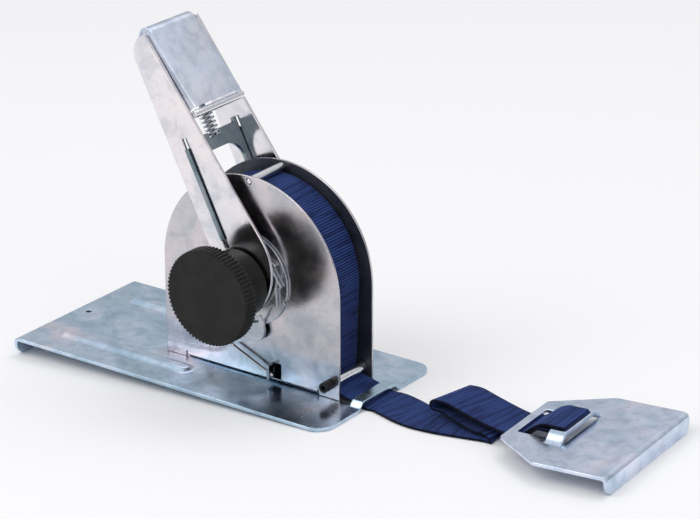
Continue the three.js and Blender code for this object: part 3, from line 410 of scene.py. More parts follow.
def poled_faces(rows, columns):
    """Quads of a shell of rings, and a fan to one point at each end: the two points after the rings."""
    here = np.arange(columns)
    after = (here + 1) % columns
    last, first_pole = (rows - 1) * columns, rows * columns
    fans = [
        np.stack([after, here, np.full(columns, first_pole)], 1),
        np.stack([last + here, last + after, np.full(columns, first_pole + 1)], 1),
    ]
    return strip_faces(rows, columns) + np.concatenate(fans).tolist()


def arc(x, y, radius, start, end, step=math.radians(3)):
    """Points on an arc, both ends included, angles in radians."""
    count = max(3, int(abs(end - start) / step) + 1)
    angles = np.linspace(start, end, count)
    return np.stack([x + radius * np.cos(angles), y + radius * np.sin(angles)], 1)


def rounded(corners):
    """An outline from corners (x, y, fillet radius), each fillet an arc tangent to both sides."""
    points = []
    count = len(corners)
    for i, corner in enumerate(corners):
        here = np.array(corner[:2], float)
        radius = corner[2] if len(corner) > 2 else 0
        if radius == 0:
            points.append(here[None])
            continue
        back = np.array(corners[i - 1][:2], float) - here
        onward = np.array(corners[(i + 1) % count][:2], float) - here
        back, onward = back / np.linalg.norm(back), onward / np.linalg.norm(onward)
        half = math.acos(np.clip(back @ onward, -1, 1)) / 2
        bisector = (back + onward) / np.linalg.norm(back + onward)
        centre = here + bisector * radius / math.sin(half)
        start = here + back * radius / math.tan(half) - centre
        sweep = math.pi - 2 * half
        side = back[0] * onward[1] - back[1] * onward[0]
        first = math.atan2(start[1], start[0])
        points.append(arc(*centre, radius, first, first - sweep if side > 0 else first + sweep))
    return np.concatenate(points)


def box_outline(x0, y0, x1, y1, radius=0):
    """An oblong between two corners, with equal fillets."""
    return rounded([(x0, y0, radius), (x1, y0, radius), (x1, y1, radius), (x0, y1, radius)])


def circle(x, y, diameter, step=math.radians(6)):
    """An arc all the way round, without its second end."""
    return arc(x, y, diameter / 2, 0, 2 * math.pi, step)[:-1]


def mirrored(half):
    """Corners (x, y, fillet) of one side, then those of the other side of y = 0 in reverse."""
    return half + [(x, -y, *fillet) for x, y, *fillet in reversed(half)]


def clean_loop(loop, spacing):
    """Drops points that lie on each other and splits long sides, so that no side is over the spacing."""
    loop = np.asarray(loop, float)
    loop = loop[np.linalg.norm(loop - np.roll(loop, 1, 0), axis=1) > 1e-4]
    out = []
    for a, b in zip(loop, np.roll(loop, -1, 0)):
        count = max(1, int(np.ceil(np.linalg.norm(b - a) / spacing)))
        out.append(a + (b - a) * (np.arange(count) / count)[:, None])
    return np.concatenate(out)


def signed_area(loop):
    """Half the sum of the cross products of neighbouring points: positive where the loop turns left."""
    x, y = loop.T
    return 0.5 * np.sum(x * np.roll(y, -1) - y * np.roll(x, -1))


def inset(loop, distance):
    """The loop moved to its left by a distance, corners mitred."""
    onward = np.roll(loop, -1, 0) - loop
    onward /= np.linalg.norm(onward, axis=1)[:, None]
    normal = np.stack([-onward[:, 1], onward[:, 0]], 1)
    before = np.roll(normal, 1, 0)
    both = normal + before
    return loop + distance * both / np.maximum(1 + np.sum(normal * before, 1), 0.3)[:, None]


def inside(points, loop):
    """Even-odd test of points against one loop."""
    x, y = points[:, 0][:, None], points[:, 1][:, None]
    ax, ay = loop.T
    bx, by = np.roll(loop, -1, 0).T
    crosses = (ay[None] > y) != (by[None] > y)
    with np.errstate(divide="ignore", invalid="ignore"):
        meet = (bx - ax)[None] * (y - ay[None]) / (by - ay)[None] + ax[None]
    return (np.sum(crosses & (x < meet), 1) % 2).astype(bool)


def near(points, loop, distance):
    """Which points lie nearer than a distance to a loop's own points."""
    gaps = np.linalg.norm(points[:, None] - loop[None], axis=2)
    return gaps.min(1) < distance


def within(points, loops):
    """Which points lie inside the first loop and outside all the others."""
    found = inside(points, loops[0])
    for hole in loops[1:]:
        found &= ~inside(points, hole)
    return found


# In sheet(): the innermost ring beside the rim, in edge radii; the room that filling points keep from
# it; and the distance at which the cap's points would merge.
INNER_RING, FILLING_ROOM, MERGE = 2.2, 0.45, 1e-6


def sheet(name, node, loops, thickness, material, place, shape,
          spacing=math.inf, filling=None, edge=EDGE):
    """Sheet metal with rounded edges. The first loop is the blank's outline and the rest are holes.
    A point (s, t, w) of the flat blank, w across its thickness, goes to shape(s, t, w). The rim is a
    quarter round of the edge radius on both sides, and filling holds points inside for bends."""
    turned = []
    for i, loop in enumerate(loops):
        loop = clean_loop(loop, spacing)
        if (signed_area(loop) > 0) != (i == 0):
            loop = loop[::-1]
        turned.append(loop)
    half = thickness / 2
    quarter = edge * (1 - math.sqrt(0.5))
    rings = [(edge, half), (quarter, half - quarter), (0, half - edge)]
    if filling is not None:
        rings.insert(0, (INNER_RING * edge, half))
    rings += [(i, -w) for i, w in reversed(rings)]
    flat = np.concatenate([
        np.concatenate([np.column_stack([inset(loop, i), np.full(len(loop), w)]) for loop in turned])
        for i, w in rings
    ])
    total = sum(len(loop) for loop in turned)
    starts = np.cumsum([0] + [len(loop) for loop in turned])
    faces, borders = [], []
    for start, loop in zip(starts, turned):
        here = start + np.arange(len(loop))
        after = start + (np.arange(len(loop)) + 1) % len(loop)
        borders += np.stack([here, after], 1).tolist()
        for ring in range(len(rings) - 1):
            top, low = ring * total, (ring + 1) * total
            faces += np.stack([here + top, here + low, after + low, after + top], 1).tolist()
    cap = flat[:total, :2]
    rims = [cap[start:stop] for start, stop in zip(starts, starts[1:])]
    extra = np.zeros((0, 2))
    if filling is not None:
        extra = filling[within(filling, rims) & ~near(filling, cap, FILLING_ROOM)]
    places = np.concatenate([cap, extra])
    found = delaunay_2d_cdt([Vector(p) for p in places.tolist()], borders, [], 0, MERGE, True)
    assert all(found[3]), name
    source = [ids[0] for ids in found[3]]
    triangles = np.array([[source[k] for k in face] for face in found[2]])
    triangles = triangles[within(places[triangles].mean(1), rims)]
    count = len(flat)
    index = np.arange(len(places))
    on_rim = index < total
    upper = np.where(on_rim, index, count + index - total)
    lower = np.where(on_rim, (len(rings) - 1) * total + index, count + len(extra) + index - total)
    smooth = [True] * len(faces) + np.repeat(triangles.max(1) >= total, 2).tolist()
    for corners in triangles:
        faces += [upper[corners].tolist(), lower[corners[::-1]].tolist()]
    tops = np.column_stack([extra, np.full(len(extra), half)])
    bottoms = np.column_stack([extra, np.full(len(extra), -half)])
    points = np.concatenate([flat, tops, bottoms])
    local = np.stack(shape(*points.T), 1)
    return make_piece(name, node, place(local), faces, material, smooth)


def revolve(name, node, profile, centre, material, place=machine, sides=48, shaped=None, stands=True):
    """A profile of (radius, y) turned about an axis along y, its ends on the axis or joined to each
    other. Where shaped is given, it works out the radius at each angle from radius, y and angle."""
    radius, along = np.asarray(profile, float).T
    angles = np.arange(sides) * 2 * math.pi / sides
    spread = np.broadcast_to(radius[:, None], (len(radius), sides))
    if shaped is not None:
        spread = shaped(spread, along[:, None], angles[None])
    points = np.stack([
        centre[0] + spread * np.cos(angles),
        np.broadcast_to(along[:, None], spread.shape),
        centre[1] + spread * np.sin(angles),
    ], -1)
    if radius[0] > 0:
        faces = strip_faces(len(radius), sides, True)
        points = points.reshape(-1, 3)
    else:
        faces = poled_faces(len(radius) - 2, sides)
        points = np.concatenate([points[1:-1].reshape(-1, 3), points[[0, -1], 0]])
    return make_piece(name, node, place(points), faces, material, stands=stands)


def six_flats(half):
    """A radius that stops at six flats, the half width over the cosine of the angle from the nearest
    flat's middle. The half width may be a number or a function of radius and y."""
    sixth = math.pi / 3

    def shaped(radius, along, angle):
        reach = half(radius, along) if callable(half) else half
        return np.minimum(radius, reach / np.cos(angle % sixth - sixth / 2))
    return shaped


def soften(profile, radius=0.3, closed=False):
    """Replaces each corner of a profile by a small round."""
    profile = [tuple(p) for p in profile]
    corners = [(x, y, radius) for x, y in profile]
    if not closed:
        corners[0] = profile[0]
        corners[-1] = profile[-1]
    out = []
    count = len(corners)
    for i, corner in enumerate(corners):
        if len(corner) < 3:
            out.append(np.array(corner[:2], float)[None])
            continue
        here = np.array(corner[:2])
        back = np.array(corners[i - 1][:2]) - here
        onward = np.array(corners[(i + 1) % count][:2]) - here
        reach = min(radius, 0.45 * np.linalg.norm(back), 0.45 * np.linalg.norm(onward))
        a = here + back / np.linalg.norm(back) * reach
        b = here + onward / np.linalg.norm(onward) * reach
        share = np.linspace(0, 1, 5)[:, None]
        out.append((1 - share) ** 2 * a + 2 * share * (1 - share) * here + share ** 2 * b)
    return np.concatenate(out)


def ring_profile(inner, outer, low, high, radius=0.25):
    """The section of a washer or tube with softened corners."""
    return soften([(inner, low), (outer, low), (outer, high), (inner, high)], radius, closed=True)


def tube(name, node, path, radius, material, sides):
    """A round wire along a path in metres: rings across it, each turned on from the one before without
    twist. It has no parent."""
    along = np.gradient(path, axis=0)
    along /= np.linalg.norm(along, axis=1)[:, None]
    across = np.zeros_like(path)
    across[0] = np.cross((0, 1, 0), along[0])
    for i in range(len(path)):
        if i:
            across[i] = across[i - 1]
        across[i] -= along[i] * (across[i] @ along[i])
        across[i] /= np.linalg.norm(across[i])
    other = np.cross(along, across)
    angles = np.arange(sides)[None, :, None] * 2 * math.pi / sides
    spokes = across[:, None] * np.cos(angles) + other[:, None] * np.sin(angles)
    rings = path[:, None] + radius * MM * spokes
    faces = capped_faces(len(path), sides)
    return make_piece(name, node, rings.reshape(-1, 3), faces, material, rides=False)


# Materials
def fill_ramp(ramp, stops):
    """Puts stops (position, colour) into a colour ramp."""
    while len(ramp.elements) < len(stops):
        ramp.elements.new(0.5)
    for element, (position, color) in zip(ramp.elements, stops):
        element.position = position
        element.color = (*color, 1)


class Finish:
    """A node material with short helpers. What doesn't vary is set on the shader's own sockets."""

    def __init__(self, name, **sockets):
        self.material = bpy.data.materials.new(name)
        self.material.use_nodes = True
        self.tree = self.material.node_tree
        self.shader = self.tree.nodes["Principled BSDF"]
        for key, value in sockets.items():
            self.shader.inputs[key.replace("_", " ")].default_value = value
        self.coordinates = self.tree.nodes.new("ShaderNodeTexCoord")

    def node(self, kind, inputs=(), **settings):
        """A new node with its settings, and its inputs linked or set."""
        made = self.tree.nodes.new("ShaderNode" + kind)
        for key, value in settings.items():
            setattr(made, key, value)
        for key, value in dict(inputs).items():
            if isinstance(value, bpy.types.NodeSocket):
                self.tree.links.new(value, made.inputs[key])
            else:
                made.inputs[key].default_value = value
        return made

    def link(self, socket, target):
        """An output goes to an input of the shader."""
        self.tree.links.new(socket, self.shader.inputs[target])

    def math(self, operation, *values):
        """One step of arithmetic on numbers or outputs."""
        return self.node("Math", dict(enumerate(values)), operation=operation).outputs[0]

    def mapped(self, scale, source="Object"):
        """Coordinates stretched by a scale for each axis."""
        place = self.coordinates.outputs[source]
        return self.node("Mapping", {"Vector": place, "Scale": scale}).outputs[0]

    def noise(self, scale, detail, roughness, vector=None, distortion=0.0):
        """Cloudy noise, in the object's own coordinates unless others are given."""
        return self.node("TexNoise", {
            "Vector": vector or self.coordinates.outputs["Object"], "Scale": scale, "Detail": detail,
            "Roughness": roughness, "Distortion": distortion,
        }).outputs["Fac"]

    def ramp(self, factor, *stops):
        """A factor turned into a colour, eased between stops (position, colour)."""
        made = self.node("ValToRGB", {"Fac": factor})
        made.color_ramp.interpolation = "EASE"
        fill_ramp(made.color_ramp, stops)
        return made.outputs["Color"]

    def spread(self, factor, low, high, start=0.35, stop=0.65):
        """A factor from start to stop mapped onto low to high."""
        return self.node("MapRange", {
            "Value": factor, "From Min": start, "From Max": stop, "To Min": low, "To Max": high,
        }).outputs["Result"]

    def times(self, color, *others):
        """Colours multiplied."""
        for other in others:
            made = self.node("Mix", {0: 1.0, 6: color, 7: other}, data_type="RGBA", blend_type="MULTIPLY")
            color = made.outputs[2]
        return color

    def bump(self, height, strength, distance):
        """The surface rises with a factor."""
        made = self.node("Bump", {"Height": height, "Strength": strength, "Distance": distance})
        self.link(made.outputs["Normal"], "Normal")


WHITE = (1, 1, 1)
TONE_PLACES = (0.3, 0.46, 0.57, 0.7)


def zinc_finish(name, tones, rough, grain, cloud):
    """Zinc-plated sheet: four cloudy tones, faint rolling lines along one way and dull scuffs. The
    roughness wanders between two values."""
    finish = Finish(name, Metallic=1.0)
    clouds = finish.noise(cloud, 4, 0.55, distortion=0.6)
    tint = finish.ramp(clouds, *zip(TONE_PLACES, tones))
    blotches = finish.noise(80, 4, 0.62, distortion=0.4)
    dull = finish.ramp(blotches, (0.34, (0.80, 0.83, 0.86)), (0.58, WHITE))
    rolling = finish.noise(60, 3, 0.6, finish.mapped(grain))
    line = finish.ramp(rolling, (0.3, (0.93, 0.935, 0.94)), (0.6, WHITE))
    finish.link(finish.times(tint, dull, line), "Base Color")
    finish.link(finish.spread(finish.noise(40, 4, 0.6), *rough), "Roughness")
    finish.bump(finish.math("ADD", rolling, finish.noise(900, 2, 0.5)), 0.05, 0.0003)
    return finish.material


def grained_finish(name, grain, stops, rough=None, bump=(0.1, 0.0002), fine=None,
                   stretch=(1, 1, 1), **sockets):
    """A finish whose colour, and where rough is given its roughness, follow one noise. The surface rises
    with the same noise, or with a finer one."""
    finish = Finish(name, **sockets)
    marks = finish.noise(*grain, finish.mapped(stretch))
    finish.link(finish.ramp(marks, *stops), "Base Color")
    if rough:
        finish.link(finish.spread(marks, *rough), "Roughness")
    finish.bump(finish.noise(*fine) if fine else marks, *bump)
    return finish.material


def steel_finish(name, color, rough, stretch=(1, 1, 1), depth=0.03):
    """Plain steel with turning or drawing marks, which shade it, dull it and roughen it a little."""
    stops = (0.3, tuple(0.82 * c for c in color)), (0.7, color)
    bump = (depth, 0.0001)
    return grained_finish(name, (140, 4, 0.6), stops, rough, bump, stretch=stretch, Metallic=1.0)


FURROW_SCALE = (28, 340, 1)  # per metre across and along
# Painted shade along the selvedges: the colour darkens between these two distances
SELVEDGE_SHADE = (0.0165, 0.0171)  # metres from the middle, where the edge starts to darken and is dark


def webbing_finish():
    """Royal blue webbing. A sine of the length makes the ribs, a finer sine of the width the warp; their
    level sets the colour, with painted shade in the hollows and a painted highlight on the crests. Over
    them lie uneven dark furrows, soft clouds and painted shade along the selvedges."""
    finish = Finish("webbing", Roughness=0.85, Metallic=0.0, Sheen_Weight=0.06, Specular_IOR_Level=0.12)
    place = finish.node("SeparateXYZ", {"Vector": finish.coordinates.outputs["UV"]})
    aside, along = place.outputs["X"], place.outputs["Y"]
    rib = finish.math("SINE", finish.math("MULTIPLY", along, 2 * math.pi / (RIB_PITCH * MM)))
    warp = finish.math("SINE", finish.math("MULTIPLY", aside, 2 * math.pi / (WARP_PITCH * MM)))
    weave = finish.math("ADD", rib, finish.math("MULTIPLY", warp, WARP_SHARE))
    level = finish.spread(weave, 0, 1, -1 - WARP_SHARE, 1 + WARP_SHARE)
    # Painted shade in the weave's hollows and a painted highlight on its crests
    rib_light_and_shade = finish.ramp(
        level, (0.1, (0.003, 0.006, 0.026)), (0.5, (0.014, 0.036, 0.150)), (0.92, (0.030, 0.074, 0.270)))
    shade = finish.ramp(finish.noise(45, 3, 0.5), (0.3, (0.8, 0.82, 0.88)), (0.7, WHITE))
    furrow = finish.noise(1.0, 2, 0.5, finish.mapped(FURROW_SCALE, "UV"))
    furrows = finish.ramp(furrow, (0.38, (0.42, 0.46, 0.56)), (0.54, WHITE))
    # Painted shade along both selvedges
    selvedge_shade = finish.spread(finish.math("ABSOLUTE", aside), 1.0, 0.1, *SELVEDGE_SHADE)
    finish.link(finish.times(rib_light_and_shade, shade, furrows, selvedge_shade), "Base Color")
    finish.bump(level, 0.5, 0.0006)
    return finish.material


base_zinc = zinc_finish("zinc_base", [
    (0.37, 0.51, 0.59), (0.49, 0.64, 0.77), (0.60, 0.72, 0.86), (0.77, 0.74, 0.82),
], rough=(0.16, 0.30), grain=(1, 20, 1), cloud=20)
side_zinc = zinc_finish("zinc_sides", [
    (0.46, 0.48, 0.52), (0.57, 0.56, 0.59), (0.65, 0.60, 0.62), (0.72, 0.64, 0.65),
], rough=(0.15, 0.26), grain=(1, 1, 20), cloud=24)
# Painted shade: a dark, rough copy of the side plates' zinc for their inward faces
shaded_inside_zinc = zinc_finish("zinc_inside_painted_shade", [
    (0.09, 0.10, 0.12), (0.12, 0.13, 0.15), (0.15, 0.15, 0.17), (0.18, 0.17, 0.19),
], rough=(0.42, 0.58), grain=(1, 1, 20), cloud=24)
arm_zinc = zinc_finish("zinc_arms", [
    (0.72, 0.71, 0.74), (0.78, 0.76, 0.79), (0.83, 0.79, 0.80), (0.87, 0.81, 0.82),
], rough=(0.13, 0.22), grain=(6, 1, 18), cloud=16)
cover_zinc = zinc_finish("zinc_cover", [
    (0.64, 0.72, 0.84), (0.72, 0.78, 0.91), (0.78, 0.82, 0.92), (0.84, 0.84, 0.92),
], rough=(0.24, 0.36), grain=(1, 30, 3), cloud=18)
pawl_zinc = zinc_finish("zinc_pawl", [
    (0.16, 0.22, 0.24), (0.23, 0.29, 0.32), (0.30, 0.34, 0.37), (0.36, 0.36, 0.39),
], rough=(0.18, 0.3), grain=(1, 18, 1), cloud=34)
dark_zinc = zinc_finish("zinc_inner", [
    (0.36, 0.41, 0.45), (0.45, 0.49, 0.54), (0.52, 0.53, 0.57), (0.58, 0.56, 0.59),
], rough=(0.2, 0.34), grain=(1, 12, 1), cloud=40)
hook_zinc = zinc_finish("zinc_hook", [
    (0.58, 0.69, 0.83), (0.69, 0.78, 0.93), (0.78, 0.81, 0.95), (0.88, 0.80, 0.90),
], rough=(0.18, 0.3), grain=(18, 1, 1), cloud=30)
bright = steel_finish(
    "bright_steel", (0.82, 0.83, 0.87), rough=(0.08, 0.14), stretch=(1, 6, 1), depth=0.006)
plain = steel_finish("plain_steel", (0.60, 0.61, 0.63), rough=(0.24, 0.38))
spring_wire = steel_finish("spring_steel", (0.66, 0.68, 0.71), rough=(0.16, 0.26))
# Black oxide on a small screw, worn a little brighter in spots
oxide = grained_finish(
    "black_oxide", (700, 3, 0.6), [(0.5, (0.012, 0.012, 0.013)), (0.8, (0.07, 0.07, 0.075))],
    rough=(0.32, 0.5), Metallic=0.6)
# Moulded black plastic with a fine satin grain and faint dust
knob_plastic = grained_finish(
    "knob_plastic", (60, 4, 0.6), [(0.35, (0.006, 0.0065, 0.006)), (0.7, (0.013, 0.0135, 0.012))],
    rough=(0.32, 0.44), bump=(0.12, 0.0002), fine=(1500, 2, 0.5), Metallic=0.0, Specular_IOR_Level=0.2)
# The sides of the wound strap: fuzzy selvedges, drawn near black with painted shade between the layers
shaded_roll_side = grained_finish(
    "shaded_roll_side", (700, 3, 0.6), [(0.35, (0.003, 0.004, 0.008)), (0.7, (0.010, 0.013, 0.026))],
    bump=(0.3, 0.0004), Roughness=0.9, Metallic=0.0, Specular_IOR_Level=0.1)
webbing = webbing_finish()

slot_finishes = {
    "zinc_sheet": dark_zinc, "bright_steel": bright, "plain_steel": plain, "spring_steel": spring_wire,
    "black_oxide": oxide, "knob_plastic": knob_plastic, "webbing": webbing,
}
for node, slot in slot_of.items():
    materials = frame["nodes"][node].data.materials
    materials.clear()
    materials.append(slot_finishes[slot])


# Sheet metal
def fold(distance, height, radius, sweep):
    """A bend that turns away from the height side. Before it (distance < 0) the sheet is flat, then its
    middle follows an arc of the radius through the sweep, then it runs straight on. Gives the place
    along the first direction and the place across it."""
    angle = np.clip(distance / radius, 0, sweep)
    rest = np.where(distance < 0, distance, np.maximum(distance - sweep * radius, 0))
    along = (radius + height) * np.sin(angle) + rest * np.cos(angle)
    across = (radius + height) * np.cos(angle) - radius - rest * np.sin(angle)
    return along, across


def ease(share):
    """A smooth step from 0 to 1, 3 q^2 - 2 q^3."""
    q = np.clip(share, 0, 1)
    return q * q * (3 - 2 * q)


def grid_points(xs, ys):
    """Every pair of the two rows of numbers."""
    x, y = np.meshgrid(xs, ys)
    return np.column_stack([x.ravel(), y.ravel()])


def polar(radius, angle):
    """A point at a distance and an angle from the shaft, in the machine's x, z plane."""
    return np.array([radius * math.cos(angle), SHAFT_HEIGHT + radius * math.sin(angle)])


def rib_distance(s, t):
    """Distance from the middle line of the nearer pressed rib."""
    return np.hypot(s - np.clip(s, RIB_LOW, RIB_HIGH), np.abs(t) - RIB_CENTRE)


def bend_rows(radius, count, sweep=QUARTER):
    """Places along a bend, from its start to its end."""
    return np.linspace(0, radius * sweep, count)


def base_shape(s, t, w):
    """The flat blank with two ribs raised by a smooth step over their flank, the bridge raised beside
    the window, and the lip folded down through a quarter turn at the left."""
    rib = RIB_HEIGHT * ease((RIB_WIDTH / 2 - rib_distance(s, t)) / RIB_FLANK)
    bridge = BRIDGE_RISE * ease((BRIDGE_HALF - np.abs(t)) / (BRIDGE_HALF - WINDOW_HALF + 1))
    height = rib + np.where(s > WINDOW_RIGHT - SEAT / 2, bridge, 0)
    bend = BASE_LEFT + LIP_BEND
    along, across = fold(bend - s, w, LIP_RADIUS, QUARTER)
    return bend - along, t, across + height - BASE_SHEET / 2


def base_plate():
    """The blank with its corners, the strap's window with the slit that frees the bridge, and the nail
    hole. Points follow both ribs, the bridge and the lip's bend."""
    half = BASE_WIDTH / 2
    left = BASE_LEFT + LIP_BEND - LIP_BLANK
    outline = rounded([
        (BASE_REACH, -half, BASE_CORNER), (BASE_REACH, half, BASE_CORNER),
        (left, half, LIP_CORNER), (left, -half, LIP_CORNER),
    ])
    slit = WINDOW_RIGHT - SEAT
    window = mirrored([
        (WINDOW_LEFT, -WINDOW_HALF), (slit, -WINDOW_HALF), (slit, -BRIDGE_HALF),
        (WINDOW_RIGHT, -BRIDGE_HALF),
    ])
    rings = []
    for y in (-RIB_CENTRE, RIB_CENTRE):
        for radius in RIB_RINGS:
            right = arc(RIB_HIGH, y, radius, -QUARTER, QUARTER, 0.2)
            rings.append(clean_loop(np.concatenate([
                right, arc(RIB_LOW, y, radius, QUARTER, 3 * QUARTER, 0.2)]), CLOSE))
    bridge = grid_points(
        np.arange(WINDOW_RIGHT + 1.2, BASE_REACH - 1, 1.6),
        np.arange(-BRIDGE_HALF - 1, BRIDGE_HALF + 1.1, FINE))
    lip = grid_points(
        BASE_LEFT + LIP_BEND - bend_rows(LIP_RADIUS, 7), np.arange(-half + 2, half - 1, WIDE))
    inset_x, aside, diameter = NAIL_HOLE
    sheet("base_sheet", "base_plate", [outline, window, circle(BASE_LEFT + inset_x, aside, diameter)],
          BASE_SHEET, base_zinc, machine, base_shape, CLOSE, np.concatenate([*rings, lip, bridge]))


def side_shape(side):
    """An upright wall whose foot folds in through a quarter turn and whose lanced tab folds out."""
    near = 0.05

    def shape(s, t, w):
        foot = (np.abs(s - ARCH_X) < FOOT_HALF + 0.5) & (t < FOOT_BEND)
        down, inwards = fold(np.where(foot, FOOT_BEND - t, -1), w, FOOT_RADIUS, QUARTER)
        tab = (s > TAB_BEND) & (s < TAB_BEND + TAB_BLANK + near)
        tab &= (t > TAB_LOW - near) & (t < TAB_HIGH + near)
        on, outwards = fold(np.where(tab, s - TAB_BEND, -1), -w, TAB_RADIUS, QUARTER)
        x = np.where(tab, TAB_BEND + on, s)
        z = np.where(foot, FOOT_BEND - down, t)
        y = SIDE_MIDDLE + np.where(tab, -outwards, np.where(foot, inwards, w))
        return x, side * y, z
    return shape


def side_plate(label, side):
    """An arch on two straight sides, with a foot between two notches, the slit round the tab, the tab's
    eye for the wire, and the bores. Its inner faces get a dark, rough zinc: painted shade."""
    foot = FOOT_BEND - FOOT_BLANK
    left, right = ARCH_X - FOOT_HALF, ARCH_X + FOOT_HALF
    wide, high = FOOT_RELIEF
    outline = [
        (ARCH_X - SIDE_RADIUS, SEAT), (left - wide, SEAT), (left - wide, high), (left, high),
        (left, foot), (right, foot), (right, high), (right + wide, high), (right + wide, SEAT),
        (ARCH_X + SIDE_RADIUS, SEAT), *arc(ARCH_X, ARCH_Z, SIDE_RADIUS, 0, math.pi, math.radians(1.5)),
    ]
    low, top, end = TAB_LOW - SEAT, TAB_HIGH + SEAT, TAB_BEND + TAB_BLANK
    slit = [
        (TAB_BEND, low), (end + SEAT, low), (end + SEAT, top), (TAB_BEND, top),
        (TAB_BEND, TAB_HIGH), (end, TAB_HIGH), (end, TAB_LOW), (TAB_BEND, TAB_LOW),
    ]
    wire_height = np.interp(TAB_X - SIDE_SHEET / 2, *np.transpose([WIRE_TO, WIRE_FROM]))
    eye = circle(end - (SIDE_OUTER + TAB_LENGTH - WIRE_Y), wire_height, TAB_EYE, math.radians(18))
    foot_points = grid_points(np.arange(-52, 54, WIDE), FOOT_BEND - bend_rows(FOOT_RADIUS, 5))
    tab_points = grid_points(TAB_BEND + bend_rows(TAB_RADIUS, 5), np.arange(TAB_LOW + 0.8, TAB_HIGH, 0.9))
    holes = [
        circle(0, SHAFT_HEIGHT, BUSH_BORE), circle(ARCH_X, SPACER_Z, PIN_BORE),
        circle(GUIDE_X, GUIDE_Z, PIN_BORE), circle(CATCH_X, CATCH_Z, PIN_BORE), slit, eye,
    ]
    piece = sheet(f"cheek_{label}", f"side_plate_{label}", [outline, *holes], SIDE_SHEET, side_zinc,
                  machine, side_shape(side), 1.0, np.concatenate([foot_points, tab_points]), 0.25)
    # Faces that look inwards take the dark zinc: painted shade
    piece.data.materials.append(shaded_inside_zinc)
    for polygon in piece.data.polygons:
        if polygon.normal.y * side < -0.7:
            polygon.material_index = 1


def flat_side(side, middle):
    """Stands a flat blank upright at one side of the clamp, its outer face away from the middle."""
    return lambda s, t, w: (s, side * (middle + w), t)


def double_d():
    """The shaft's end with its two flats, as a hole with clearance."""
    radius, flat = SHAFT_DIAMETER / 2 + SEAT, SHAFT_FLATS / 2 + SEAT
    edge = math.acos(flat / radius)
    return np.concatenate([
        arc(0, SHAFT_HEIGHT, radius, edge - math.pi / 2, math.pi / 2 - edge),
        arc(0, SHAFT_HEIGHT, radius, math.pi / 2 + edge, 1.5 * math.pi - edge),
    ])


def guard_disc(label, side):
    """A plain disc with one small notch in its rim."""
    half, root = NOTCH_HALF / GUARD_RADIUS, GUARD_RADIUS - NOTCH_DEPTH
    start, stop = GUARD_NOTCH + half, GUARD_NOTCH - half + 2 * math.pi
    rim = arc(0, SHAFT_HEIGHT, GUARD_RADIUS, start, stop, math.radians(2))
    outline = np.concatenate([rim, [polar(root, GUARD_NOTCH - half), polar(root, GUARD_NOTCH + half)]])
    sheet(f"guard_{label}", f"guard_disc_{label}", [outline, double_d()], GUARD_SHEET, dark_zinc, machine,
          flat_side(side, GUARD_INNER + GUARD_SHEET / 2))


# Angle from the handle's middle to the steep face of a tooth beside the pawl
PAWL_SIDE = math.asin((PAWL_SHEET / 2 + SEAT) / TOOTH_ROOT)


def ratchet_wheel(label, side):
    """Twelve saw teeth: a steep face, a short crest, a slow back and a flat seat for the pawl."""
    step = 2 * math.pi / TOOTH_COUNT
    points = []
    for k in range(TOOTH_COUNT):
        face = HANDLE_ANGLE + PAWL_SIDE + k * step
        points += [
            (*polar(TOOTH_ROOT, face), 0.3), (*polar(TOOTH_TIP, face), 0.25),
            (*polar(TOOTH_TIP, face + TOOTH_CREST / TOOTH_TIP), 0.3),
            (*polar(TOOTH_ROOT, face + step - 2 * PAWL_SIDE), 1.0),
        ]
    sheet(f"toothed_wheel_{label}", f"ratchet_wheel_{label}", [rounded(points), double_d()], WHEEL_SHEET,
          plain, machine, flat_side(side, WHEEL_INNER + WHEEL_SHEET / 2), edge=0.2)


def holding_pawl(label, side):
    """A lever from its pivot to a round lobe under the wheel, with the nose on top and a hollow that
    follows the teeth at a small distance."""
    face = HANDLE_ANGLE + PAWL_SIDE - math.pi - SEAT / TOOTH_ROOT
    nose = TOOTH_ROOT + CATCH_PLAY
    back = face - CATCH_NOSE / nose
    hollow = back - math.radians(3)
    lobe_x, lobe_z, lobe_radius = CATCH_LOBE
    outline = np.concatenate([
        [polar(nose, back)],
        arc(0, SHAFT_HEIGHT, TOOTH_TIP + 0.9, hollow, hollow - math.radians(21)),
        arc(CATCH_X, CATCH_Z, CATCH_BOSS, math.radians(110), math.radians(280), math.radians(8)),
        arc(lobe_x, lobe_z, lobe_radius, math.radians(-100), math.radians(20)),
        [polar(nose + CATCH_SHOULDER, face), polar(nose, face)],
    ])
    sheet(f"catch_{label}", f"holding_pawl_{label}", [outline, circle(CATCH_X, CATCH_Z, CATCH_BORE)],
          CATCH_SHEET, dark_zinc, machine, flat_side(side, WHEEL_INNER + CATCH_SHEET / 2))


# Handle
def handle_arm(label, side):
    """A flat lever with a slot for the pawl's ears, broad and round at the drum, narrow at the grip."""
    loops = [rounded(ARM_CORNERS), box_outline(*ARM_SLOT), circle(0, 0, ARM_BORE)]
    sheet(f"lever_{label}", f"handle_arm_{label}", loops, ARM_SHEET, arm_zinc, handle,
          flat_side(side, ARM_INNER + ARM_SHEET / 2), edge=0.35)


def cover_shape(s, t, w):
    """A shallow channel: both long edges fold back through a quarter turn, and at the tip a band
    narrower than the channel folds back over the end."""
    across, back = fold(np.abs(s) - COVER_FLAT, w, COVER_RADIUS, QUARTER)
    past = t > COVER_TOP
    band = past & (np.abs(s) < COVER_FLAT + 0.05)
    on, over = fold(np.where(past, t - COVER_TOP, -1), w, BAND_RADIUS, BAND_SWEEP)
    x = np.where(band, over, back) - COVER_SHEET / 2
    return x, np.sign(s) * (COVER_FLAT + across), np.where(band, COVER_TOP + on, t)


